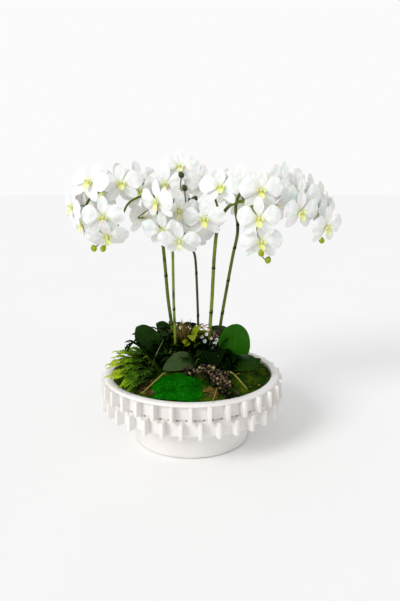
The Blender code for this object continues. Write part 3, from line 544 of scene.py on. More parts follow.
def petal_finish(name="white_petal", shade=(0.80, 0.805, 0.785), light=(0.93, 0.93, 0.92)):
    """A petal: faint veins that run out from the centre, cream and green at its root, light let through."""
    f = Finish(name, 0.55, Subsurface_Weight=0.25, Subsurface_Scale=0.003, Specular_IOR_Level=0.3)
    _, along = f.uv()
    veins = f.noise(4.5, 4, 0.5, "UV", (9, 1.1, 1))
    fine = f.noise(9, 4, 0.6, "UV", (14, 2.2, 1))
    white = f.ramp(veins, (0.34, shade), (0.56, light))
    root = f.math("SUBTRACT", 1.0, f.math("DIVIDE", along, 0.34), clamp=True)
    f.paint(f.mix(f.math("POWER", root, 1.4), white, (0.66, 0.72, 0.36)))
    f.rough(fine, 0.45, 0.65)
    f.bump(veins, 0.6, 0.0008)
    return f.bump(fine, 0.3, 0.0004).mat


def lip_finish(name="lemon_lip", root=(0.80, 0.79, 0.14), middle=(0.86, 0.89, 0.32)):
    """A yellow lip: deeper at the root, paler at the end, with a few red-brown specks and fine stripes."""
    f = Finish(name, 0.5, Subsurface_Weight=0.2, Subsurface_Scale=0.003, Specular_IOR_Level=0.3)
    _, along = f.uv()
    wash = f.ramp(along, (0.0, root), (0.5, middle), (1.0, (0.90, 0.91, 0.68)))
    spots = f.noise(16, 1, 0.4, "UV", (3, 3, 1))
    speck = f.math("MULTIPLY", f.math("GREATER_THAN", spots, 0.68), f.math("LESS_THAN", along, 0.4))
    f.paint(f.mix(f.math("MULTIPLY", speck, 0.5), wash, (0.45, 0.18, 0.04)))
    f.rough(spots, 0.42, 0.62)
    return f.bump(f.noise(12, 2, 0.5, "UV", (6, 1, 1)), 0.25, 0.0004).mat


def stem_finish(name, low, high, blotch):
    """A smooth green stalk with faint length-wise streaks and darker blotches."""
    f = Finish(name, 0.42, Specular_IOR_Level=0.3)
    streaks = f.noise(60, 3, 0.6, "Object", (6, 6, 0.35))
    body = f.mix(streaks, low, high)
    patch = f.ramp(f.noise(34, 3, 0.6), (0.52, (0, 0, 0)), (0.7, (1, 1, 1)))
    f.paint(f.mix(patch, body, blotch))
    f.rough(streaks, 0.34, 0.55)
    return f.bump(streaks, 0.3, 0.0004).mat


def bark_finish(name, dark, light, scale, stretch=(1, 1, 0.3)):
    """Dry bark or scale: rough grain drawn out along it, dark in its furrows."""
    f = Finish(name, 0.85, Specular_IOR_Level=0.15)
    grain = f.noise(scale, 6, 0.7, "Object", stretch)
    f.paint(f.ramp(grain, (0.3, dark), (0.68, light)))
    f.rough(grain, 0.95, 0.7)
    return f.bump(grain, 0.8, 0.0012).mat


def berry_finish(name, dark, light, gloss):
    """A berry or pod, mottled between its two colours."""
    f = Finish(name, gloss, Specular_IOR_Level=0.35)
    tone = f.noise(150, 3)
    f.paint(f.ramp(tone, (0.38, dark), (0.62, light)))
    f.rough(f.noise(600, 2), gloss - 0.05, gloss + 0.2)
    return f.bump(f.noise(1400, 2), 0.3, 0.0003).mat


# Helpers

def make_piece(name, bm, mats, replaced=(), crease=50):
    """Makes a piece of a mesh: smooth with its hard edges kept, and riding on the one body."""
    mesh = mesh_of(bm, name)
    for mat in mats:
        mesh.materials.append(mat)
    for poly in mesh.polygons:
        poly.use_smooth = True
    mesh.set_sharp_from_angle(angle=radians(crease))
    obj = put_in_scene(name, mesh)
    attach(obj, "root")
    if replaced:
        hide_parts(*replaced)


def metres(points):
    return [Vector(p) * MM for p in points]


def to_disc(x, y):
    """Turns a place in a square from -1 to 1 into its place in a round."""
    return x * sqrt(1 - y * y / 2), y * sqrt(1 - x * x / 2)


def oval_spot(rng, middle, half):
    """An even random place in an oval; its middle and half size are in millimetres, the place in metres."""
    angle, radius = rng.uniform(0, tau), sqrt(rng.random())
    return ((middle[0] + half[0] * radius * cos(angle)) * MM,
            (middle[1] + half[1] * radius * sin(angle)) * MM)


def foot_at(x, y, depth):
    """A foot in the moss, so many millimetres deep, at a place in metres."""
    return Vector((x, y, moss_height(x, y) - depth * MM))


def color_faces(verts, mat):
    for face in {f for v in verts for f in v.link_faces}:
        face.material_index = mat


def smooth_course(points, steps):
    """A smooth course through the points, by Catmull-Rom spans."""
    ends = [points[0] * 2 - points[1], *points, points[-1] * 2 - points[-2]]
    course = []
    for i in range(1, len(ends) - 2):
        p0, p1, p2, p3 = ends[i - 1:i + 3]
        for k in range(steps):
            t = k / steps
            course.append(0.5 * (2 * p1 + (p2 - p0) * t + (2 * p0 - 5 * p1 + 4 * p2 - p3) * t ** 2
                                 + (3 * p1 - p0 - 3 * p2 + p3) * t ** 3))
    course.append(points[-1].copy())
    return course


def moss_height(x, y):
    """Top of the moss mound at a place, in metres."""
    away = hypot(x, y) / MOSS_EDGE_RADIUS
    bump = sin(x * 95 + 1.2) * sin(y * 80 - 0.6) + 0.6 * sin(x * 190 - y * 150)
    fade = max(0.0, 1 - away ** 4)
    return MOSS_EDGE_HEIGHT + MOSS_RISE * (1 - away ** 2.4) + MOSS_BUMP * bump * fade


def planted_course(spine, fineness):
    """A smooth course that starts upright in its hole and then follows the spine, at even steps."""
    points = metres(spine)
    foot = points[0].copy()
    top = moss_height(foot.x, foot.y)
    foot.z = top - PLANT_DEPTH
    lift = Vector((foot.x, foot.y, top + 2 * MM))
    buried = [foot.lerp(lift, k / fineness) for k in range(fineness)]
    return buried + smooth_course([lift, *points[1:]], 2 * fineness)


def at(course, t):
    """Point on a course at t from 0 to 1, counted in its steps."""
    where = min(max(t, 0.0), 1.0) * (len(course) - 1)
    i = min(int(where), len(course) - 2)
    return course[i].lerp(course[i + 1], where - i)


def heading(course, t):
    """Direction of a course at t."""
    step = 1.0 / (len(course) - 1)
    return (at(course, t + step) - at(course, t - step)).normalized()


def bend_along(bm, course, radii, sides=10, mat=0, cuts=None):
    """A closed round stalk: a capped circle extruded ring by ring, each at its own radius on the course."""
    cuts = cuts or len(course) - 1
    ring = bmesh.ops.create_circle(bm, cap_ends=True, segments=sides, radius=1.0)["verts"]
    verts = list(ring)
    edges = list({e for v in ring for e in v.link_edges})
    side = Vector((1, 0, 0))
    last = Matrix.Identity(4)
    for k in range(cuts + 1):
        ahead = heading(course, k / cuts)
        if abs(side.dot(ahead)) > 0.99:
            side = ahead.orthogonal()
        side = (side - ahead * side.dot(ahead)).normalized()
        radius = max(0.01 * MM, radii(k / cuts) if callable(radii) else radii)
        here = Matrix((side, ahead.cross(side), ahead)).transposed().to_4x4()
        here = Matrix.Translation(at(course, k / cuts)) @ here @ Matrix.Diagonal((radius, radius, radius, 1))
        if k:
            made = bmesh.ops.extrude_edge_only(bm, edges=edges)["geom"]
            ring = [g for g in made if isinstance(g, bmesh.types.BMVert)]
            edges = [g for g in made if isinstance(g, bmesh.types.BMEdge)]
            verts += ring
        bmesh.ops.transform(bm, matrix=here @ last.inverted(), verts=ring)
        last = here
    bmesh.ops.edgeloop_fill(bm, edges=edges)
    color_faces(verts, mat)


def bend_through(bm, points, steps, radii, sides=10, mat=0):
    """A closed round stalk on the smooth course through a few points."""
    bend_along(bm, smooth_course(points, steps), radii, sides, mat)


def sheet_patch(bm, place, across, along, thickness, mat=0, rounded=True):
    """A thin closed blade: a grid, rounded to an oval, laid point by point and given a thickness.

    place(x, y) gives the point for x across from -1 to 1 and y along from 0 to 1, kept as the UV map.
    """
    made = bmesh.ops.create_grid(bm, x_segments=across, y_segments=along, size=1.0)
    verts = made["verts"]
    uv = bm.loops.layers.uv.verify()
    faces = list({f for v in verts for f in v.link_faces})
    spots = {}
    for v in verts:
        x, y = to_disc(v.co.x, v.co.y) if rounded else v.co[:2]
        spots[v] = (x, (y + 1) / 2)
    for face in faces:
        face.material_index = mat
        for loop in face.loops:
            x, y = spots[loop.vert]
            loop[uv].uv = ((x + 1) / 2, y)
    for v in verts:
        v.co = place(*spots[v])
    for face in faces:
        face.normal_update()
    for v in verts:
        v.normal_update()
    bmesh.ops.solidify(bm, geom=faces, thickness=thickness)


def close(bm):
    """Merges doubles and turns every closed shell's faces outward."""
    bmesh.ops.remove_doubles(bm, verts=bm.verts, dist=1e-6)
    bmesh.ops.recalc_face_normals(bm, faces=bm.faces)
    return bm


def cap(bm):
    """Fills the one open edge of a mesh."""
    bmesh.ops.contextual_create(bm, geom=[e for e in bm.edges if e.is_boundary])


def mesh_of(bm, name):
    mesh = bpy.data.meshes.new(name)
    bm.to_mesh(mesh)
    bm.free()
    return mesh


def pour(bm, batch):
    """Adds a small mesh in the making to a larger one, which keeps the larger one quick to work on."""
    mesh = mesh_of(batch, "batch")
    bm.from_mesh(mesh)
    bpy.data.meshes.remove(mesh)


def scatter(bm, template, places):
    """Lays a copy of a small mesh at each place, in batches."""
    batch = bmesh.new()
    for count, matrix in enumerate(places, 1):
        copy = template.copy()
        copy.transform(matrix)
        batch.from_mesh(copy)
        bpy.data.meshes.remove(copy)
        if count % BATCH == 0:
            pour(bm, batch)
            batch = bmesh.new()
    pour(bm, batch)


# Bowl

def bowl_outline():
    """Half section of the bowl, from the middle of the foot round the outside to the middle of the floor."""
    wall_in = WALL_RADIUS - WALL_THICKNESS
    foot_in = FOOT_RADIUS - WALL_THICKNESS
    low, high = FIN_ROWS
    groove = WALL_RADIUS - GROOVE_DEPTH
    return [
        (0, 0),
        (FOOT_RADIUS - 5 * MM, 0),
        (FOOT_RADIUS - 4.6 * MM, 1.8 * MM),
        (FOOT_RADIUS - 1 * MM, 2.2 * MM),
        (FOOT_RADIUS, 3.5 * MM),
        (FOOT_RADIUS + 4.5 * MM, FOOT_HEIGHT),
        (FOOT_RADIUS + 20 * MM, FOOT_HEIGHT + 10 * MM),
        (WALL_RADIUS - 4 * MM, low[0] - 3 * MM),
        (WALL_RADIUS, low[0] + 1 * MM),
        (WALL_RADIUS, GROOVE_HEIGHT - GROOVE_HALF),
        (groove, GROOVE_HEIGHT - GROOVE_HALF / 2),
        (groove, GROOVE_HEIGHT + GROOVE_HALF / 2),
        (WALL_RADIUS, GROOVE_HEIGHT + GROOVE_HALF),
        (WALL_RADIUS, high[1] - 1 * MM),
        (RIM_OUTER, high[1] - 1 * MM),
        (RIM_OUTER - 2 * MM, RIM_HEIGHT - 1.5 * MM),
        (RIM_OUTER - 10 * MM, RIM_HEIGHT),
        (RIM_RADIUS, RIM_HEIGHT - 2 * MM),
        (wall_in, low[0] + 8 * MM),
        (foot_in + 14 * MM, FOOT_HEIGHT + 18 * MM),
        (foot_in, FOOT_HEIGHT + 4 * MM),
        (foot_in - 6 * MM, BASE_THICKNESS),
        (0, BASE_THICKNESS),
    ]


def loose_object(name, bm):
    return put_in_scene(name, mesh_of(bm, name))


def combine(base, others, operation):
    """Joins closed solids to one, or cuts them from it, by one Boolean on a collection, then emptied."""
    group = bpy.data.collections.new(base.name + "_pieces")
    bpy.context.scene.collection.children.link(group)
    for obj in others:
        bpy.context.scene.collection.objects.unlink(obj)
        group.objects.link(obj)
    mod = base.modifiers.new("pieces", "BOOLEAN")
    mod.operation = operation
    mod.operand_type = "COLLECTION"
    mod.collection = group
    mod.solver = "EXACT"
    bpy.context.view_layer.update()
    graph = bpy.context.evaluated_depsgraph_get()
    mesh = bpy.data.meshes.new_from_object(base.evaluated_get(graph))
    base.modifiers.clear()
    base.data = mesh
    for obj in list(group.objects):
        bpy.data.objects.remove(obj, do_unlink=True)
    bpy.data.collections.remove(group)


def bowl_shell():
    """The outline spun round, with its level edges eased."""
    bm = bmesh.new()
    verts = [bm.verts.new((r, 0.0, z)) for r, z in bowl_outline()]
    edges = [bm.edges.new(pair) for pair in zip(verts, verts[1:])]
    bmesh.ops.spin(bm, geom=verts + edges, axis=(0, 0, 1), cent=(0, 0, 0), angle=tau,
                   steps=BOWL_SEGMENTS, use_merge=True)
    close(bm)
    folds = [e for e in bm.edges if abs(e.verts[0].co.z - e.verts[1].co.z) < 1e-6
             and e.calc_face_angle(0) > radians(14)]
    bmesh.ops.bevel(bm, geom=folds, offset=1.6 * MM, segments=3, profile=0.5, affect="EDGES", material=-1,
                    clamp_overlap=True)
    return loose_object("bowl_shell", close(bm))


def bowl_fin(row, i, bottom, top, angle):
    """One slab, its edges eased and its root sunk in the wall."""
    root = WALL_RADIUS - WALL_THICKNESS / 2
    bm = bmesh.new()
    bmesh.ops.create_cube(bm, size=1.0)
    bmesh.ops.scale(bm, vec=(FIN_OUTER - root, FIN_THICKNESS, top - bottom), verts=bm.verts)
    bmesh.ops.bevel(bm, geom=bm.edges[:], offset=1.1 * MM, segments=2, profile=0.5, affect="EDGES",
                    material=-1)
    bmesh.ops.translate(bm, vec=((FIN_OUTER + root) / 2, 0, (top + bottom) / 2), verts=bm.verts)
    bmesh.ops.rotate(bm, matrix=Matrix.Rotation(angle, 3, "Z"), verts=bm.verts)
    return loose_object(f"fin_{row}_{i}", bm)


def groove_hole(i):
    """A round plug to cut one hole of the groove."""
    angle = tau * (i + 0.5) / (2 * FIN_COUNT) - pi / 2
    bm = bmesh.new()
    turn = Matrix.Rotation(angle, 4, "Z") @ Matrix.Translation((WALL_RADIUS, 0, GROOVE_HEIGHT))
    bmesh.ops.create_cone(bm, cap_ends=True, segments=12, radius1=GROOVE_HOLE, radius2=GROOVE_HOLE,
                          depth=13 * MM, matrix=turn @ Matrix.Rotation(pi / 2, 4, "Y"))
    return loose_object(f"hole_{i}", bm)


def make_bowl(mat):
    whole = bowl_shell()
    fins = []
    for row, (bottom, top, shift) in enumerate(FIN_ROWS):
        for i in range(FIN_COUNT):
            angle = tau * (i + shift) / FIN_COUNT - pi / 2
            fins.append(bowl_fin(row, i, bottom, top, angle))
    combine(whole, fins, "UNION")
    combine(whole, [groove_hole(i) for i in range(2 * FIN_COUNT)], "DIFFERENCE")
    bm = bmesh.new()
    bm.from_mesh(whole.data)
    bpy.data.objects.remove(whole, do_unlink=True)
    make_piece("ceramic_bowl", close(bm), [mat], ["bowl"], crease=28)


# Moss and ground

def moss_ground(x, y):
    """The mound's top with its fine lumps."""
    lump = (noise.noise(Vector((x * 60, y * 60, 1.7))) * 2.2
            + noise.noise(Vector((x * 170, y * 170, 5.1))) * 1.2)
    edge = max(0.0, 1 - (hypot(x, y) / MOSS_EDGE_RADIUS) ** 6)
    return moss_height(x, y) + lump * MM * edge


def tuft_template(seed, sprigs, height, width):
    """A small tuft of pointed sprigs that lean out from one root."""
    rng = random.Random(seed)
    bm = bmesh.new()
    for i in range(sprigs):
        turn = tau * i / sprigs + rng.uniform(-0.4, 0.4)
        lean = Matrix.Rotation(turn, 4, "Z") @ Matrix.Rotation(rng.uniform(0.25, 1.05), 4, "Y")
        tall = height * rng.uniform(0.65, 1.2)
        bmesh.ops.create_cone(bm, cap_ends=True, segments=3, radius1=width, radius2=0, depth=tall,
                              matrix=lean @ Matrix.Translation((0, 0, tall / 2)))
    return mesh_of(bm, "tuft")


def tuft_places(seed, count, spot, height_at, size=(0.7, 1.3)):
    """Places on the ground for tufts, square to its slope, each turned and sized by chance."""
    rng = random.Random(seed)
    step = 1.5 * MM
    for _ in range(count):
        x, y = spot(rng)
        normal = Vector((height_at(x - step, y) - height_at(x + step, y),
                         height_at(x, y - step) - height_at(x, y + step), 2 * step)).normalized()
        turn = normal.to_track_quat("Z", "Y").to_matrix().to_4x4()
        scale = rng.uniform(*size)
        yield (Matrix.Translation((x, y, height_at(x, y) - 0.6 * MM)) @ turn
               @ Matrix.Rotation(rng.uniform(0, tau), 4, "Z") @ Matrix.Scale(scale, 4))


def add_tufts(bm, seed, tuft, places):
    template = tuft_template(seed, *tuft)
    scatter(bm, template, places)
    bpy.data.meshes.remove(template)


def pad_oval(pad):
    """Middle and half size of a pad in metres."""
    return tuple(v * MM for v in pad["centre"]), tuple(v * MM for v in pad["size"])


def on_mound(rng):
    """A place on the mound that the emerald cushion leaves free."""
    (cx, cy), (wide, deep) = pad_oval(MOSS_PATCH)
    reach = MOSS_EDGE_RADIUS / MM - 2
    while True:
        x, y = oval_spot(rng, (0, 0), (reach, reach))
        if ((x - cx) / wide) ** 2 + ((y - cy) / deep) ** 2 > 0.85:
            return x, y


def make_sheet_moss(mat):
    """The olive mound: a lumpy round with a skirt down to the foam, covered with tufts."""
    bm = bmesh.new()
    for v in bmesh.ops.create_grid(bm, x_segments=110, y_segments=110, size=1.0)["verts"]:
        x, y = (c * MOSS_EDGE_RADIUS for c in to_disc(v.co.x, v.co.y))
        v.co = (x, y, moss_ground(x, y))
    rim = [e for e in bm.edges if e.is_boundary]
    for v in bmesh.ops.extrude_edge_only(bm, edges=rim)["geom"]:
        if isinstance(v, bmesh.types.BMVert):
            v.co.z = FOAM_TOP + GAP
    cap(bm)
    close(bm)
    for seed in (1, 2, 3):
        add_tufts(bm, seed, SHEET_TUFT, tuft_places(10 + seed, SHEET_TUFTS, on_mound, moss_ground))
    make_piece("sheet_moss_fine", bm, [mat], ["sheet_moss"])


def pad_matrix(pad):
    (x, y), _ = pad_oval(pad)
    sunk = pad["thickness"] * MM * 0.45
    turn = Matrix.Rotation(radians(pad["tilt"]), 4, "X")
    return Matrix.Translation((x, y, moss_height(x, y) - sunk)) @ turn


def half_ball(u_segments, v_segments):
    bm = bmesh.new()
    bmesh.ops.create_uvsphere(bm, u_segments=u_segments, v_segments=v_segments, radius=1.0)
    bmesh.ops.delete(bm, geom=[v for v in bm.verts if v.co.z < -0.01], context="VERTS")
    return bm


def pad_dome(pad, u_segments, v_segments, lumps, roughness):
    """An oval pad with a flat underside and a lumpy domed top, in its own place before tilting."""
    _, (wide, deep) = pad_oval(pad)
    thick = pad["thickness"] * MM
    bm = half_ball(u_segments, v_segments)
    for v in bm.verts:
        x, y, z = v.co
        lump = 1 + (lumps * noise.noise(Vector((x * 3, y * 3, 0.3))) + roughness * noise.noise(v.co * 14)) * z
        v.co = (x * wide, y * deep, z * thick * lump)
    cap(bm)
    return bm


def make_emerald_moss(mat):
    """The bright cushion in front: a lumpy pad covered with fine tufts."""
    bm = pad_dome(MOSS_PATCH, 96, 48, 0.25, 0.12)
    _, (wide, deep) = pad_oval(MOSS_PATCH)
    thick = MOSS_PATCH["thickness"] * MM
    reach = [0.985 * v for v in MOSS_PATCH["size"]]

    def height_at(x, y):
        z = sqrt(1 - min(1.0, (x / wide) ** 2 + (y / deep) ** 2))
        return z * thick * (1 + 0.25 * noise.noise(Vector((x / wide * 3, y / deep * 3, 0.3))) * z)

    def spot(rng):
        return oval_spot(rng, (0, 0), reach)

    add_tufts(bm, 9, EMERALD_TUFT, tuft_places(21, EMERALD_TUFTS, spot, height_at))
    bmesh.ops.transform(bm, matrix=pad_matrix(MOSS_PATCH), verts=bm.verts)
    bmesh.ops.recalc_face_normals(bm, faces=bm.faces)
    make_piece("emerald_moss_fine", bm, [mat], ["emerald_moss"])


def make_emerald_edge(mat):
    """Emerald moss that runs on from the cushion down to the rim, laid on the mound."""
    (cx, cy), (wide, deep) = pad_oval(EMERALD_EDGE)
    thick = EMERALD_EDGE["thickness"] * MM
    reach = [0.97 * v for v in EMERALD_EDGE["size"]]

    def height_at(x, y):
        away = min(1.0, ((x - cx) / wide) ** 2 + ((y - cy) / deep) ** 2)
        lump = 1 + 0.3 * noise.noise(Vector((x * 70, y * 70, 0.3)))
        return moss_height(x, y) - 1.5 * MM + thick * sqrt(1 - away) * lump

    def within(x, y):
        """The place itself, or the mound's edge where the place lies past it."""
        inward = min(1.0, (MOSS_EDGE_RADIUS - 1.5 * MM) / max(hypot(x, y), MM))
        return x * inward, y * inward

    def spot(rng):
        return within(*oval_spot(rng, EMERALD_EDGE["centre"], reach))

    bm = half_ball(72, 32)
    for v in bm.verts:
        x, y = within(cx + v.co.x * wide, cy + v.co.y * deep)
        v.co = (x, y, height_at(x, y))
    cap(bm)
    close(bm)
    add_tufts(bm, 19, EMERALD_TUFT, tuft_places(25, EDGE_TUFTS, spot, height_at))
    make_piece("emerald_moss_edge", bm, [mat])


def make_bark(mat):
    bm = pad_dome(BARK, 64, 32, 0.5, 0.35)
    bmesh.ops.transform(bm, matrix=pad_matrix(BARK), verts=bm.verts)
    make_piece("bark_chip_fine", close(bm), [mat], ["bark_chip"])


# Leaves, fern and trimmings

def leaf_width(t, blunt=0.7):
    """Width of a leaf blade along its spine, 0 at the foot to 1 at the tip, as a part of the greatest."""
    return max(0.0, sin(pi * min(1.0, t) ** 0.8)) ** blunt


def blade_frames(course, roll):
    """A function that gives the point, side and up directions of a blade at t along its course."""
    lie = course[-1] - course[0]
    level = Vector((lie.y, -lie.x, 0)).normalized()

    def frame_at(t):
        ahead = heading(course, t)
        side = (level - ahead * level.dot(ahead)).normalized()
        side = Matrix.Rotation(radians(roll * min(1.0, t / 0.35)), 3, ahead) @ side
        return at(course, t), side, side.cross(ahead)

    return frame_at


def make_leaf(name, mat):
    """A large leaf: folded a little along its midrib, its edges raised and gently waved."""
    spine, half, rise, roll = LEAVES[name]
    course = planted_course(spine, 8)
    neck = 2.4 * MM if name != "leaf_young" else 1.8 * MM
    frame_at = blade_frames(course, roll)
    seed = Vector((len(name) * 1.3, half * 0.7, 2.0))
    blunt = 0.48 if name == "leaf_round_right" else 0.7

    def place(x, t):
        point, side, up = frame_at(t)
        blade_t = max(0.0, (t - 0.16) / 0.84)
        wide = max(half * MM * leaf_width(blade_t, blunt), neck if t < 0.5 else 1.2 * MM)
        wave = noise.noise(seed + Vector((x * 1.2, t * 5, 0))) * 0.09 * wide * min(1, 4 * blade_t)
        fold = 0.05 * wide * min(abs(x) * 6, 1) * min(1, 4 * blade_t)
        return point + side * wide * x + up * (wide * rise * x * x + wave + fold)

    bm = bmesh.new()
    sheet_patch(bm, place, 18, 54, 1.2 * MM, rounded=False)
    make_piece(name + "_fine", close(bm), [mat], [name])


def grow_frond(bm, rng, course, pairs, length, bare, slim=0.155, rib=1.3, cuts=10):
    """An arched rib with narrow toothed leaflets in pairs, shorter towards the tip."""
    bend_along(bm, course, lambda t: (rib - 0.7 * rib * t) * MM, sides=6, mat=1)
    for pair in range(pairs):
        share = (pair + 0.5) / pairs
        t = bare + (1 - bare) * share
        root, ahead = at(course, t), heading(course, t)
        side = Vector((-ahead.y, ahead.x, 0)).normalized()
        up = ahead.cross(side)
        up = up if up.z > 0 else -up
        reach = length * sin(pi * (0.22 + 0.7 * share)) ** 0.8
        for hand in (-1, 1):
            out = (side * hand + ahead * rng.uniform(0.5, 0.75) + up * rng.uniform(-0.16, 0.22)).normalized()
            add_leaflet(bm, rng, root, out, ahead, reach * rng.uniform(0.9, 1.1), slim, cuts)
    tip = heading(course, 1.0)
    add_leaflet(bm, rng, at(course, 0.995), tip, Vector((-tip.y, tip.x, 0)), length * 0.6, slim, cuts)


def add_leaflet(bm, rng, root, out, ahead, length, slim, cuts):
    """One leaflet: narrow, toothed, arched over and drooping at its tip."""
    over = (ahead - out * ahead.dot(out)).normalized()
    top = over.cross(out)
    top = top if top.z > 0 else -top
    droop = rng.uniform(0.08, 0.24)
    wide = max(length * slim, 0.9 * MM)

    def place(x, y):
        tooth = 1 + 0.22 * abs(sin(y * pi * 5)) * abs(x)
        half = wide * (0.35 + 0.9 * min(1, y * 5)) * (1 - 0.5 * y) * tooth
        return (root + out * length * y + over * half * x
                + top * (0.12 * length * sin(y * 2.6) - droop * length * y * y + 0.15 * half * abs(x)))

    sheet_patch(bm, place, 2, cuts, 0.45 * MM)


def make_frond(name, mat, rib_mat):
    """A large fern frond in the place of its node."""
    bm = bmesh.new()
    course = planted_course(FRONDS[name], 6)
    grow_frond(bm, random.Random(name), course, FROND_PAIRS, LEAFLET_LENGTH * 0.95, 0.26, 0.27)
    make_piece(name + "_fine", close(bm), [mat, rib_mat], [name])


def make_fern_fill(mat, rib_mat):
    """Small fronds in between, from the ground of the fern to its edges."""
    rng = random.Random("fern fill")
    bm = bmesh.new()
    for (x, y), tip in FERN_FILL:
        foot = foot_at(x * MM, y * MM, 5)
        tip = Vector(tip) * MM
        rise = 0.2 * (tip - foot).length * UP
        points = [foot, foot.lerp(tip, 0.3) + rise, foot.lerp(tip, 0.68) + rise, tip]
        frond = bmesh.new()
        grow_frond(frond, rng, smooth_course(points, 6), 9, 11 * MM, 0.12, 0.55, 0.9, 6)
        pour(bm, frond)
    make_piece("fern_fill", close(bm), [mat, rib_mat])


def add_berry(bm, tip, out, radius, mat, squeeze=1.0):
    """A berry or seed head with a dented crown, its long axis pointing out; a squeezed one is lumpy too."""
    verts = bmesh.ops.create_uvsphere(bm, u_segments=8, v_segments=6, radius=radius)["verts"]
    dent = [v for v in verts if v.co.z > radius * 0.99]
    bmesh.ops.translate(bm, vec=(0, 0, -0.3 * radius), verts=dent)
    if squeeze < 1:
        for v in verts:
            v.co *= 1 + 0.4 * noise.noise(v.co / radius * 1.3 + tip * 400)
    turned = out.to_track_quat("Z", "Y").to_matrix().to_4x4()
    shape = Matrix.Diagonal((squeeze, squeeze, 1.0, 1.0))
    bmesh.ops.transform(bm, matrix=Matrix.Translation(tip) @ turned @ shape, verts=verts)
    color_faces(verts, mat)


def make_berries(name, mats):
    """A spray of berries on thin stalks round a twig, each with a small dented crown."""
    spine, count, spread = BERRY_SPRAYS[name]
    rng = random.Random(name)
    course = planted_course(spine, 6)
    bm = bmesh.new()
    bend_along(bm, course, lambda t: (1.4 - 0.6 * t) * MM, sides=8, mat=1)
    for i in range(count):
        t = 0.28 + 0.72 * (i + 0.5) / count
        point = at(course, t)
        turn = 2.4 * i + rng.uniform(-0.3, 0.3)
        out = Vector((cos(turn), 0.6 * sin(turn), 0.3 + 0.6 * abs(sin(turn)))).normalized()
        tip = point + out * spread * MM * rng.uniform(0.35, 1.0)
        tip.z = max(tip.z, moss_height(tip.x, tip.y) + 3 * MM)
        middle = point.lerp(tip, 0.5) + Vector((0, 0, 1.5 * MM))
        bend_through(bm, [point, middle, tip], 2, 0.55 * MM, sides=5, mat=1)
        add_berry(bm, tip, out, BERRY_RADIUS * rng.uniform(0.62, 1.1), rng.choice((0, 0, 2, 3)))
    make_piece(name + "_fine", close(bm), mats, [name])


def make_seed_heads(mats):
    """Dry seed heads and pods in front, each upright on its own thin stalk out of the moss, among leaves
    near-black with painted shade.
    """
    rng = random.Random("seed heads")
    bm = bmesh.new()
    leaves = bmesh.new()
    for (cx, cy), (wide, deep), count in SEED_PATCHES:
        for _ in range(count):
            foot = foot_at(*oval_spot(rng, (cx, cy), (wide, deep)), 4)
            lean = Vector((rng.uniform(-0.7, 0.7), rng.uniform(-0.7, 0.5), 1)).normalized()
            tip = foot + lean * rng.uniform(11, 25) * MM
            sway = Vector((rng.uniform(-2, 2), rng.uniform(-2, 2), 0)) * MM
            bend_through(bm, [foot, foot.lerp(tip, 0.5) + sway, tip], 2, 0.6 * MM, sides=5, mat=1)
            lean = (lean + Vector((rng.uniform(-0.7, 0.7), rng.uniform(-0.7, 0.2), 0))).normalized()
            size = rng.uniform(2.6, 6.6) * MM
            add_berry(bm, tip + lean * size * 0.6, lean, size, rng.choice((0, 0, 0, 1, 2, 3)),
                      rng.uniform(0.4, 0.75))
        for _ in range(count):
            x = (cx + rng.uniform(-1, 1) * wide) * MM
            y = (cy + rng.uniform(-1, 1) * deep) * MM
            foot = foot_at(x, y, 4)
            tip = foot + Vector((rng.uniform(-4, 4), rng.uniform(-5, 3), rng.uniform(7, 14))) * MM
            one = bmesh.new()
            # These leaves take material 4, the near-black leaf colour: painted shade in the gaps between the
            # pods
            add_small_leaf(one, rng, foot, tip, rng.uniform(13, 20) * MM, rng.uniform(5, 9) * MM, 4)
            pour(leaves, one)
    pour(bm, leaves)
    make_piece("seed_heads", close(bm), mats)


def add_floret(bm, rng, centre, facing, radius, mat):
    """A tiny five-petalled flower, cupped, round a small heart."""
    side = facing.orthogonal().normalized()
    for i in range(5):
        out = Matrix.Rotation(tau * i / 5 + rng.uniform(-0.2, 0.2), 3, facing) @ side
        across = facing.cross(out)

        def place(x, y, out=out, across=across):
            return centre + (out * (0.1 + y) + across * 0.46 * x + facing * 0.55 * y * y) * radius

        sheet_patch(bm, place, 3, 4, 0.4 * MM, mat=mat)
    add_berry(bm, centre, facing, radius * 0.3, 2)


def make_florets(mats):
    """Little flowers on thin stalks between the stems."""
    rng = random.Random("florets")
    bm = bmesh.new()
    for i, centre in enumerate(metres(FLORETS)):
        x, y = centre.x + rng.uniform(-12, 12) * MM, centre.y + rng.uniform(-6, 16) * MM
        foot = foot_at(x, y, 6)
        bend = foot.lerp(centre, 0.55) + Vector((rng.uniform(-6, 6), rng.uniform(-4, 4), 4)) * MM
        bend_through(bm, [foot, bend, centre], 5, 0.7 * MM, sides=6, mat=1)
        facing = Vector((rng.uniform(-0.5, 0.5), -1, rng.uniform(0.1, 0.8))).normalized()
        add_floret(bm, rng, centre, facing, rng.uniform(3.4, 5.0) * MM, 0 if i % 3 else 3)
    make_piece("florets", close(bm), mats)


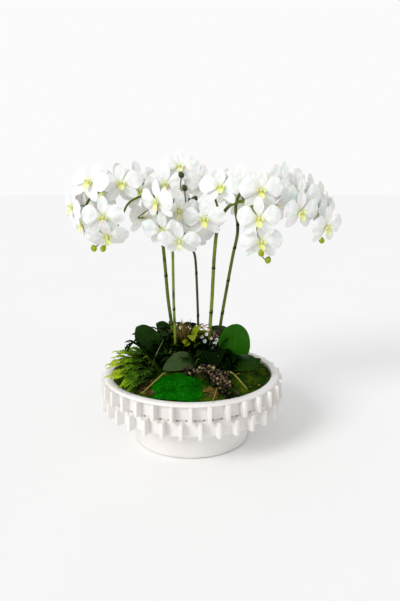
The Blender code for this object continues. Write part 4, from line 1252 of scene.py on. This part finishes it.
def add_small_leaf(bm, rng, foot, tip, length, width, mat=0, lift=(-0.45, 0.5)):
    """A small leaf on a bent stalk: pointed oval, folded along its midrib and drooping."""
    bend = foot.lerp(tip, 0.6) + 0.25 * (tip - foot).length * UP
    bend_through(bm, [foot, bend, tip], 2, 0.8 * MM, sides=4, mat=1)
    away = Vector((tip.x - foot.x, tip.y - foot.y, 0))
    away = away.normalized() if away.length > MM else Vector((0, -1, 0))
    out = (away + rng.uniform(*lift) * UP).normalized()
    across = Matrix.Rotation(rng.uniform(-0.7, 0.7), 3, out) @ out.cross(UP).normalized()
    top = across.cross(out)

    def place(x, y):
        half = width * 0.5 * sin(pi * min(1, 0.06 + 0.9 * y) ** 0.8) * x
        return tip + out * length * y + across * half + top * (0.35 * abs(half) - 0.22 * length * y * y)

    sheet_patch(bm, place, 2, 7, 0.7 * MM, mat=mat, rounded=False)


def make_leaf_fill(mats):
    """Young leaves that hide the ground round the stems, most of them near-black with painted shade."""
    for k, (middle, half, count, stalks, sizes, lift) in enumerate(LEAF_FILL):
        rng = random.Random(f"leaf fill {k}")
        bm = bmesh.new()
        for _ in range(count):
            foot = foot_at(*oval_spot(rng, middle, half), 5)
            turn = rng.uniform(0, tau)
            lean = Vector((cos(turn) * 0.5, sin(turn) * 0.5 - 0.2, 1)).normalized()
            tip = foot + lean * (5 + rng.uniform(*stalks)) * MM
            length = rng.uniform(*sizes) * MM
            width = length * rng.uniform(0.5, 0.72)
            one = bmesh.new()
            # Material 2 is the near-black leaf colour, painted shade
            add_small_leaf(one, rng, foot, tip, length, width, rng.choice((0, 2, 2)), lift)
            pour(bm, one)
        make_piece(f"leaf_fill_{k + 1}", close(bm), mats)


def make_lime_leaves(mats):
    """Lime young leaves that cross each other behind the middle."""
    rng = random.Random("lime leaves")
    bm = bmesh.new()
    for (x, y), tip, length, width in LIME_LEAVES:
        add_small_leaf(bm, rng, foot_at(x * MM, y * MM, 6), Vector(tip) * MM, length * MM, width * MM)
    make_piece("lime_leaves", close(bm), mats)


def make_grass(mat):
    bm = bmesh.new()
    for (x, y), tip in GRASS:
        foot, tip = foot_at(x * MM, y * MM, 5), Vector(tip) * MM
        points = [foot, foot.lerp(tip, 0.5) + 6 * MM * UP, tip]
        bend_through(bm, points, 6, lambda t: (1.1 - 0.8 * t) * MM, sides=6)
    make_piece("grass", close(bm), [mat])


def make_dry_chips(mats):
    """Slivers of dry bark and leaf litter pressed into the moss, each a bevelled chip."""
    rng = random.Random("dry chips")
    bm = bmesh.new()
    for middle, half, count in CHIP_PATCHES:
        for _ in range(count):
            x, y = oval_spot(rng, middle, half)
            if hypot(x, y) > MOSS_EDGE_RADIUS - 6 * MM:
                continue
            chip = bmesh.new()
            bmesh.ops.create_cube(chip, size=1.0)
            size = Vector((rng.uniform(5, 14), rng.uniform(2.5, 6), rng.uniform(1.2, 2.4))) * MM
            bmesh.ops.scale(chip, vec=size, verts=chip.verts)
            bmesh.ops.bevel(chip, geom=chip.edges[:], offset=0.4 * MM, segments=1, profile=0.5,
                            affect="EDGES", material=-1)
            for v in chip.verts:
                v.co += noise.noise_vector(v.co * 300 + Vector((x * 900, y * 900, 0))) * 0.9 * MM
            turn = (Matrix.Rotation(rng.uniform(0, pi), 4, "Z")
                    @ Matrix.Rotation(rng.uniform(-0.4, 0.4), 4, "X")
                    @ Matrix.Rotation(rng.uniform(-0.3, 0.3), 4, "Y"))
            lift = Matrix.Translation((x, y, moss_ground(x, y) + 1.6 * MM))
            bmesh.ops.transform(chip, matrix=lift @ turn, verts=chip.verts)
            color_faces(chip.verts, rng.randrange(len(mats)))
            pour(bm, chip)
    make_piece("dry_chips", close(bm), mats)


def make_dark_sprigs(mat):
    """Low club moss between the plants, near-black with painted shade."""
    def spot(rng):
        return oval_spot(rng, CLUB_MIDDLE, CLUB_SIZE)

    bm = bmesh.new()
    for seed in (31, 32, 33):
        add_tufts(bm, seed, CLUB_TUFT, tuft_places(seed, CLUB_TUFTS, spot, moss_ground, (0.6, 1.4)))
    make_piece("dark_sprigs", bm, [mat])


def make_succulent(mat):
    """A rosette of narrow bronze spikes on a short stalk."""
    x, y = (v * MM for v in SUCCULENT_FOOT)
    top = moss_height(x, y)
    rng = random.Random("succulent")
    bm = bmesh.new()
    core = [Vector((x, y, z)) for z in (top - PLANT_DEPTH, top + 14 * MM, top + 30 * MM)]
    bend_through(bm, core, 4, lambda t: (3.6 + 3.6 * max(0, t - 0.5) * 2) * MM, sides=12)
    for i in range(SUCCULENT_SPIKES):
        turn = SPIKE_TURN * i
        lean = 0.12 + 0.95 * i / SUCCULENT_SPIKES
        out = Vector((cos(turn), sin(turn), 0))
        length = rng.uniform(48, 76) * MM
        root = Vector((x, y, top + rng.uniform(16, 28) * MM))
        bend = root + out * length * 0.42 * lean + length * (0.52 - 0.12 * lean) * UP
        tip = bend + out * length * 0.3 * lean + length * (0.46 - 0.22 * lean) * UP
        wide = rng.uniform(1.8, 2.8) * MM
        bend_through(bm, [root, bend, tip], 4, lambda t, w=wide: w * (1.02 - t ** 1.8), sides=6)
    make_piece("succulent_fine", close(bm), [mat], ["succulent"])


def make_tendril(mat):
    """A tendril with arched side shoots and small leaves to both sides, near-black with painted shade."""
    course = planted_course(TENDRIL, 6)
    bm = bmesh.new()
    bend_along(bm, course, lambda t: (1.7 - 0.6 * t) * MM, sides=7)
    for arc in TENDRIL_ARCS:
        bend_through(bm, metres(arc), 6, lambda t: (0.9 + 2.0 * sin(pi * t)) * MM, sides=7)
    rng = random.Random("tendril")
    for i in range(TENDRIL_LEAVES):
        t = 0.3 + 0.7 * i / (TENDRIL_LEAVES - 1)
        point, ahead = at(course, t), heading(course, t)
        side = Vector((-ahead.y, ahead.x, 0.5)).normalized() * (1 if i % 2 else -1)
        out = (side + ahead * 0.45).normalized()
        over = out.cross(UP).normalized()
        top = over.cross(out)
        length = rng.uniform(11, 17) * MM

        def place(x, y, out=out, over=over, top=top, point=point, length=length):
            hang = 0.25 * length * y * (1 - y) - 0.3 * MM * x * x
            return point + out * length * y + over * 3.8 * MM * x + top * hang

        sheet_patch(bm, place, 4, 8, 0.5 * MM, mat=1)
    make_piece("tendril_fine", close(bm), [mat, mat], ["tendril"])


def make_twig(name, mat):
    """A dry twig: knobbly, a little crooked, thinner to its tip."""
    spine, radius = TWIGS[name]
    course = planted_course(spine, 6)
    shift = len(name) * 3.1
    bm = bmesh.new()

    def radii(t):
        knot = 1 + 0.18 * max(0.0, sin(t * 26 + shift)) ** 6
        return radius * MM * (1.08 - 0.5 * t) * knot

    bend_along(bm, course, radii, sides=10, cuts=70)
    for v in bm.verts:
        v.co += noise.noise_vector(v.co * 160 + Vector((shift, 0, 0))) * 0.25 * MM
    make_piece(name + "_fine", close(bm), [mat], [name])


# Stems and flowers

def bloom_matrix(place):
    """The place and turn of a bloom, which faces up its own Z."""
    x, y, z, yaw, pitch, roll = place
    yaw, pitch, roll = (radians(a) for a in (yaw, pitch, roll))
    facing = Vector((sin(yaw) * cos(pitch), -cos(yaw) * cos(pitch), sin(pitch)))
    right = Vector((cos(yaw), sin(yaw), 0))
    up = facing.cross(right)
    turn = Matrix((right, up, facing)).transposed().to_4x4()
    return Matrix.Translation(Vector((x, y, z)) * MM) @ turn @ Matrix.Rotation(roll, 4, "Z")


def ease(t):
    """From 0 to 1 with level ends."""
    t = min(max(t, 0.0), 1.0)
    return t * t * (3 - 2 * t)


def petal_shape(rng, direction):
    """Broad side petal: round, narrow at its root, its middle forward, its edge gently waved."""
    droop, cup, shift = rng.uniform(-0.03, 0.05), rng.uniform(0.02, 0.08), rng.uniform(0, 50)

    def shape(x, y):
        reach = 0.05 + 1.01 * y
        half = 0.5 * (0.34 + 0.74 * ease(y / 0.72)) * x
        forward = 0.015 + 0.11 * sin(pi * y ** 0.9) - cup * x * x - droop * y * y
        forward += 0.07 * noise.noise(Vector((x * 1.6 + shift, y * 3.2, direction))) * ease(y * 2)
        forward += 0.02 * sin(x * 7 + shift) * ease(y * 1.4 - 0.3)
        return reach, half, forward

    return shape


def sepal_shape(rng, direction):
    """Narrower sepal behind the petals: oval, bent back towards its tip."""
    curl, cup, shift = rng.uniform(0.05, 0.12), rng.uniform(0.0, 0.05), rng.uniform(0, 50)

    def shape(x, y):
        reach = 0.04 + 0.99 * y
        half = 0.27 * (0.45 + 0.5 * ease(y / 0.5)) * x
        forward = -0.015 - curl * y * y + cup * x * x
        forward += 0.05 * noise.noise(Vector((x * 1.5 + shift, y * 3, direction))) * ease(y * 2)
        return reach, half, forward

    return shape


BLOOM_LOBES = ((12, petal_shape), (90, sepal_shape), (168, petal_shape), (228, sepal_shape),
               (312, sepal_shape))


def bloom_points(*points):
    """Points given in bloom radii, in metres."""
    return [Vector(p) * BLOOM_RADIUS for p in points]


def add_lobe(bm, rng, direction, make_shape):
    """One petal or sepal, out from the middle of the bloom."""
    angle = radians(direction + rng.uniform(-3, 3))
    out = Vector((cos(angle), sin(angle), 0))
    across = Vector((-out.y, out.x, 0))
    shape = make_shape(rng, direction)

    def place(x, y):
        reach, half, forward = shape(x, y)
        return (out * reach + across * half + Vector((0, 0, forward))) * BLOOM_RADIUS

    sheet_patch(bm, place, 12, 16, PETAL_THICKNESS)


def add_lip(bm, rng):
    """The lip below the column: a middle lobe, two raised side lobes, a swelling and two tendrils."""
    nod = rng.uniform(-0.03, 0.03)
    path = smooth_course([Vector(p) for p in ((0, -0.04, 0.02), (0, -0.13, 0.13), (0, -0.25, 0.215 + nod),
                                              (0, -0.36, 0.235 + nod), (0, -0.44, 0.22 + nod))], 4)

    def middle(x, y):
        half = (0.05 + 0.10 * ease(y / 0.5)) * (1 - 0.35 * ease((y - 0.55) / 0.45))
        return (at(path, y) + Vector((half * x, 0, 0.05 * x * x))) * BLOOM_RADIUS

    sheet_patch(bm, middle, 8, 12, 0.9 * MM, mat=1)
    for hand in (-1, 1):
        def wing(x, y, hand=hand):
            out = Vector((hand * (0.045 + 0.15 * sin(y * 1.9)), -0.07 + 0.07 * y, 0.05 + 0.21 * y))
            return (out + Vector((0, 0.075 * x, -0.02 * x * x))) * BLOOM_RADIUS

        sheet_patch(bm, wing, 6, 8, 0.7 * MM, mat=1)
        curl = bloom_points((0, -0.42, 0.22 + nod), (hand * 0.05, -0.47, 0.25 + nod),
                            (hand * 0.09, -0.44, 0.29 + nod), (hand * 0.07, -0.40, 0.30 + nod))
        bend_through(bm, curl, 3, lambda t: (0.5 - 0.3 * t) * MM, sides=5, mat=1)
    swelling = bmesh.ops.create_uvsphere(bm, u_segments=10, v_segments=6, radius=0.05 * BLOOM_RADIUS)["verts"]
    bmesh.ops.scale(bm, vec=(1.2, 1.0, 0.9), verts=swelling)
    bmesh.ops.translate(bm, vec=Vector((0, -0.11, 0.15)) * BLOOM_RADIUS, verts=swelling)
    color_faces(swelling, 1)


def add_column(bm):
    """The white column over the lip, a short bent stub with a rounded cap."""
    def radii(t):
        cap_round = sqrt(max(0.08, 1 - max(0, (t - 0.75) / 0.27) ** 2))
        return BLOOM_RADIUS * (0.06 + 0.012 * sin(t * 3.1)) * cap_round

    points = bloom_points((0, 0, -0.03), (0, 0.01, 0.06), (0, 0.005, 0.14), (0, -0.015, 0.205))
    bend_through(bm, points, 4, radii, sides=12)


def pedicel_start(matrix, gap):
    """The end of a pedicel at the back of a bloom, and the point straight behind where it bends."""
    return matrix @ Vector((0, 0, -gap)), matrix @ Vector((0, 0, -PEDICEL_REACH))


def make_bloom(name, place, mats, ways=None):
    """A bloom in the place of its node, or an extra one with a pedicel of its own from the nearest stem."""
    rng = random.Random(name)
    bm = bmesh.new()
    for direction, make_shape in BLOOM_LOBES:
        add_lobe(bm, rng, direction, make_shape)
    add_lip(bm, rng)
    add_column(bm)
    close(bm)
    matrix = bloom_matrix(place)
    bmesh.ops.transform(bm, matrix=matrix, verts=bm.verts)
    if ways:
        back, behind = pedicel_start(matrix, PETAL_THICKNESS - 0.2 * MM)
        root = min(ways, key=lambda p: (p - behind).length)
        bend_through(bm, [back, behind, root], 6, PEDICEL_RADIUS, sides=8, mat=2)
        make_piece(name, close(bm), mats, crease=60)
    else:
        make_piece(name + "_fine", close(bm), mats, [name], crease=60)


def flowering_spots(course, start):
    """Places on a course that can carry a pedicel: the middles of its stretches from one on."""
    return [a.lerp(b, 0.4) for a, b in zip(course[start:], course[start + 1:])]


def take_nearest(spots, point):
    """Takes the nearest of the free spots."""
    spot = min(spots, key=lambda s: (s - point).length)
    spots.remove(spot)
    return spot


def add_bud(bm, middle, turn):
    """A plump bud, pointed and seamed."""
    verts = bmesh.ops.create_uvsphere(bm, u_segments=24, v_segments=16, radius=1.0)["verts"]
    for v in verts:
        seam = 1 - 0.07 * abs(cos(1.5 * atan2(v.co.y, v.co.x))) ** 6
        taper = 1 - 0.22 * max(0.0, v.co.z)
        v.co = Vector((v.co.x * seam * taper, v.co.y * seam * taper, v.co.z * 1.2)) * BUD_RADIUS
    bmesh.ops.transform(bm, matrix=Matrix.Translation(middle) @ Matrix.Rotation(turn, 4, "Y"), verts=verts)
    color_faces(verts, 2)


def add_joint(bm, course, height, radius):
    """A joint on a bare stem: a swollen ring with a small dark scale lying against it."""
    t = next(i for i, p in enumerate(course) if p.z > height) / (len(course) - 1)
    middle, ahead = at(course, t), heading(course, t)
    ring = [middle - ahead * 3 * MM, middle, middle + ahead * 3 * MM]
    bend_through(bm, ring, 3, lambda s: radius * (0.9 + 0.25 * sin(s * pi)), sides=12, mat=1)
    side = Vector((cos(height * 2.4), -abs(sin(height * 2.4)) - 0.2, 0)).normalized()
    over = side.cross(ahead).normalized()

    def place(x, y):
        out = radius * (0.9 + 0.5 * y * y)
        return (middle + side * out + ahead * (9 * y - 2) * MM + over * 2.8 * MM * x * (1 - 0.4 * y)
                - side * 1.4 * MM * x * x)

    sheet_patch(bm, place, 6, 8, 0.6 * MM, mat=1)


def make_stem(key, mats):
    """A flower stem with its side branch, a pedicel to the back of every bloom, its buds and its joints.

    It gives back the places that an extra bloom's pedicel can start from.
    """
    stem = STEMS[key]
    points = metres(stem["course"])
    foot = Vector((points[0].x, points[0].y, STEM_FOOT))
    straight = sum(p.z < STRAIGHT_TO for p in points) - 1
    coarse = [foot, *points[:straight], *smooth_course(points[straight:], 2)]
    first = next(i for i, p in enumerate(coarse) if p.z > STRAIGHT_TO)
    spots = flowering_spots(coarse, first)
    fine = smooth_course(coarse, 5)
    ways = [p for p in fine if p.z > STRAIGHT_TO]
    bm = bmesh.new()
    radius = stem["radius"] * MM
    bend_along(bm, fine, lambda t: radius * (1 - 0.45 * max(0.0, t - 0.4)), sides=14)
    if stem["branch"]:
        side = smooth_course(metres(stem["branch"]), 2)
        bend_through(bm, side, 4, lambda t: radius * (0.75 - 0.2 * t))
        spots += flowering_spots(side, 3)
        ways += side
    for place in stem["blooms"]:
        back, behind = pedicel_start(bloom_matrix(place), GAP + CAD_PETAL_THICKNESS)
        root = take_nearest(spots, behind)
        bend_through(bm, [back, behind, root], 6,
                     lambda t: PEDICEL_RADIUS * (1.35 - 0.5 * sin(t * 2.2)), sides=8)
    for i, places in enumerate(stem["buds"]):
        way = metres(places)
        bend_through(bm, [take_nearest(spots, way[0]), *way], 5, PEDICEL_RADIUS * 0.9, sides=8)
        add_bud(bm, way[-1], 0.35 * (1 if i % 2 else -1))
    for height in STEM_JOINTS[key]:
        add_joint(bm, fine, height * MM, radius)
    make_piece(f"stem_{key}_fine", close(bm), mats, [f"stem_{key}"], crease=60)
    return ways


def main():
    ceramic = ceramic_finish()
    moss = moss_finish("olive_moss", ((0.34, (0.005, 0.018, 0.0005)), (0.47, (0.016, 0.052, 0.001)),
                                      (0.58, (0.056, 0.105, 0.002)), (0.70, (0.19, 0.16, 0.008))), 700)
    emerald = moss_finish("emerald_moss", ((0.34, (0.001, 0.075, 0.0004)), (0.5, (0.003, 0.17, 0.0005)),
                                           (0.68, (0.010, 0.27, 0.002))), 900)
    # Near-black moss: painted shade, for the low sprigs between the plants
    shade_moss = moss_finish("shade_moss", ((0.34, (0.001, 0.005, 0.0005)), (0.52, (0.005, 0.016, 0.001)),
                                          (0.7, (0.020, 0.042, 0.002))), 300)
    leaf = leaf_finish("dark_leaf", (0.003, 0.015, 0.0008), (0.011, 0.044, 0.002), (0.04, 0.09, 0.006),
                       0.4, 14, 0.07)
    # Near-black copy of the leaf colour: painted shade, for leaves that sit in the shade in the middle of the
    # plants
    deep = leaf_finish("shaded_leaf", (0.0006, 0.003, 0.0003), (0.002, 0.010, 0.0006), (0.008, 0.024, 0.002),
                       0.5, 9, 0.02, 0)
    bright = leaf_finish("bright_leaf", (0.006, 0.060, 0.001), (0.018, 0.105, 0.001), (0.05, 0.15, 0.006),
                         0.42, 10, 0.06)
    pale = leaf_finish("pale_leaf", (0.020, 0.044, 0.008), (0.034, 0.066, 0.016), (0.09, 0.12, 0.04),
                       0.45, 14, 0.15)
    young = leaf_finish("young_leaf", (0.07, 0.12, 0.001), (0.25, 0.32, 0.005), (0.42, 0.47, 0.03),
                        0.42, 9, 0.1)
    pale_grass = leaf_finish("pale_grass", (0.10, 0.14, 0.05), (0.22, 0.28, 0.12), (0.3, 0.35, 0.2),
                             0.5, 4, 0.1)
    fern = fern_finish()
    petal = petal_finish()
    blush = petal_finish("blush_petal", (0.62, 0.34, 0.30), (0.82, 0.60, 0.55))
    lip = lip_finish()
    cream_lip = lip_finish("cream_lip", (0.80, 0.79, 0.34), (0.86, 0.87, 0.54))
    green = stem_finish("green_stalk", (0.040, 0.078, 0.001), (0.14, 0.19, 0.004), (0.012, 0.022, 0.001))
    dark_green = stem_finish("dark_stalk", (0.022, 0.034, 0.003), (0.060, 0.080, 0.008),
                             (0.016, 0.012, 0.004))
    light_green = stem_finish("light_stalk", (0.090, 0.14, 0.006), (0.20, 0.27, 0.015),
                              (0.045, 0.075, 0.004))
    scale = bark_finish("dark_scale", (0.006, 0.006, 0.002), (0.03, 0.024, 0.008), 300)
    bud = stem_finish("bud_green", (0.14, 0.22, 0.001), (0.52, 0.58, 0.006), (0.04, 0.08, 0.001))
    # Near-black copy of the bud colour: painted shade, for the buds of the middle stem that sit in the shade
    # of the blooms
    shaded_bud = stem_finish("shaded_bud", (0.010, 0.020, 0.002), (0.06, 0.085, 0.008), (0.006, 0.010, 0.002))
    straw = bark_finish("straw_bark", (0.16, 0.13, 0.02), (0.42, 0.40, 0.10), 240)
    brown = bark_finish("brown_bark", (0.018, 0.012, 0.005), (0.085, 0.06, 0.022), 260)
    ochre = bark_finish("ochre_bark", (0.05, 0.03, 0.006), (0.22, 0.14, 0.03), 190, (1, 0.5, 1))
    bronze = bark_finish("bronze_spike", (0.045, 0.026, 0.004), (0.30, 0.22, 0.05), 110)
    plum = berry_finish("plum_berry", (0.006, 0.003, 0.002), (0.035, 0.016, 0.009), 0.5)
    tan = berry_finish("tan_pod", (0.075, 0.062, 0.018), (0.38, 0.33, 0.15), 0.6)
    rose = berry_finish("rose_pod", (0.040, 0.018, 0.010), (0.22, 0.12, 0.07), 0.6)

    make_bowl(ceramic)
    make_sheet_moss(moss)
    make_emerald_moss(emerald)
    make_emerald_edge(emerald)
    make_bark(ochre)
    # The leaf in the dark middle takes the near-black leaf colour, which is painted shade
    leaf_mats = {"leaf_round_right": bright, "leaf_front": pale, "leaf_young": young,
                 "leaf_centre_dark": deep}
    for name in LEAVES:
        make_leaf(name, leaf_mats.get(name, leaf))
    for name in FRONDS:
        make_frond(name, fern, green)
    make_fern_fill(fern, green)
    for name in BERRY_SPRAYS:
        make_berries(name, [plum, brown, tan, rose])
    make_seed_heads([plum, brown, tan, rose, deep])
    make_florets([petal, green, tan, blush])
    make_leaf_fill([leaf, green, deep])
    make_lime_leaves([young, green])
    make_grass(pale_grass)
    make_dry_chips([ochre, brown, ochre])
    make_dark_sprigs(shade_moss)
    for name in TWIGS:
        make_twig(name, brown if name == "twig_brown" else straw)
    make_succulent(bronze)
    # The tendril takes the near-black leaf colour, painted shade
    make_tendril(deep)
    frame["nodes"]["foam_filler"].material_slots[0].material = foam_finish()
    stem_mats = {"centre_pale": light_green, "right_front": light_green, "centre_dark": dark_green}
    for key, stem in STEMS.items():
        ways = make_stem(key, [stem_mats.get(key, green), scale, shaded_bud if key == "centre_dark" else bud])
        bloom_mats = [petal, cream_lip if key.startswith("centre") else lip, green]
        for i, place in enumerate(stem["blooms"]):
            make_bloom(f"bloom_{key}_{i + 1}", place, bloom_mats[:2])
        for i, place in enumerate(EXTRA_BLOOMS[key]):
            make_bloom(f"bloom_{key}_extra_{i + 1}", place, bloom_mats, ways)
    set_camera()
    set_light()
    lay_floor()


main()
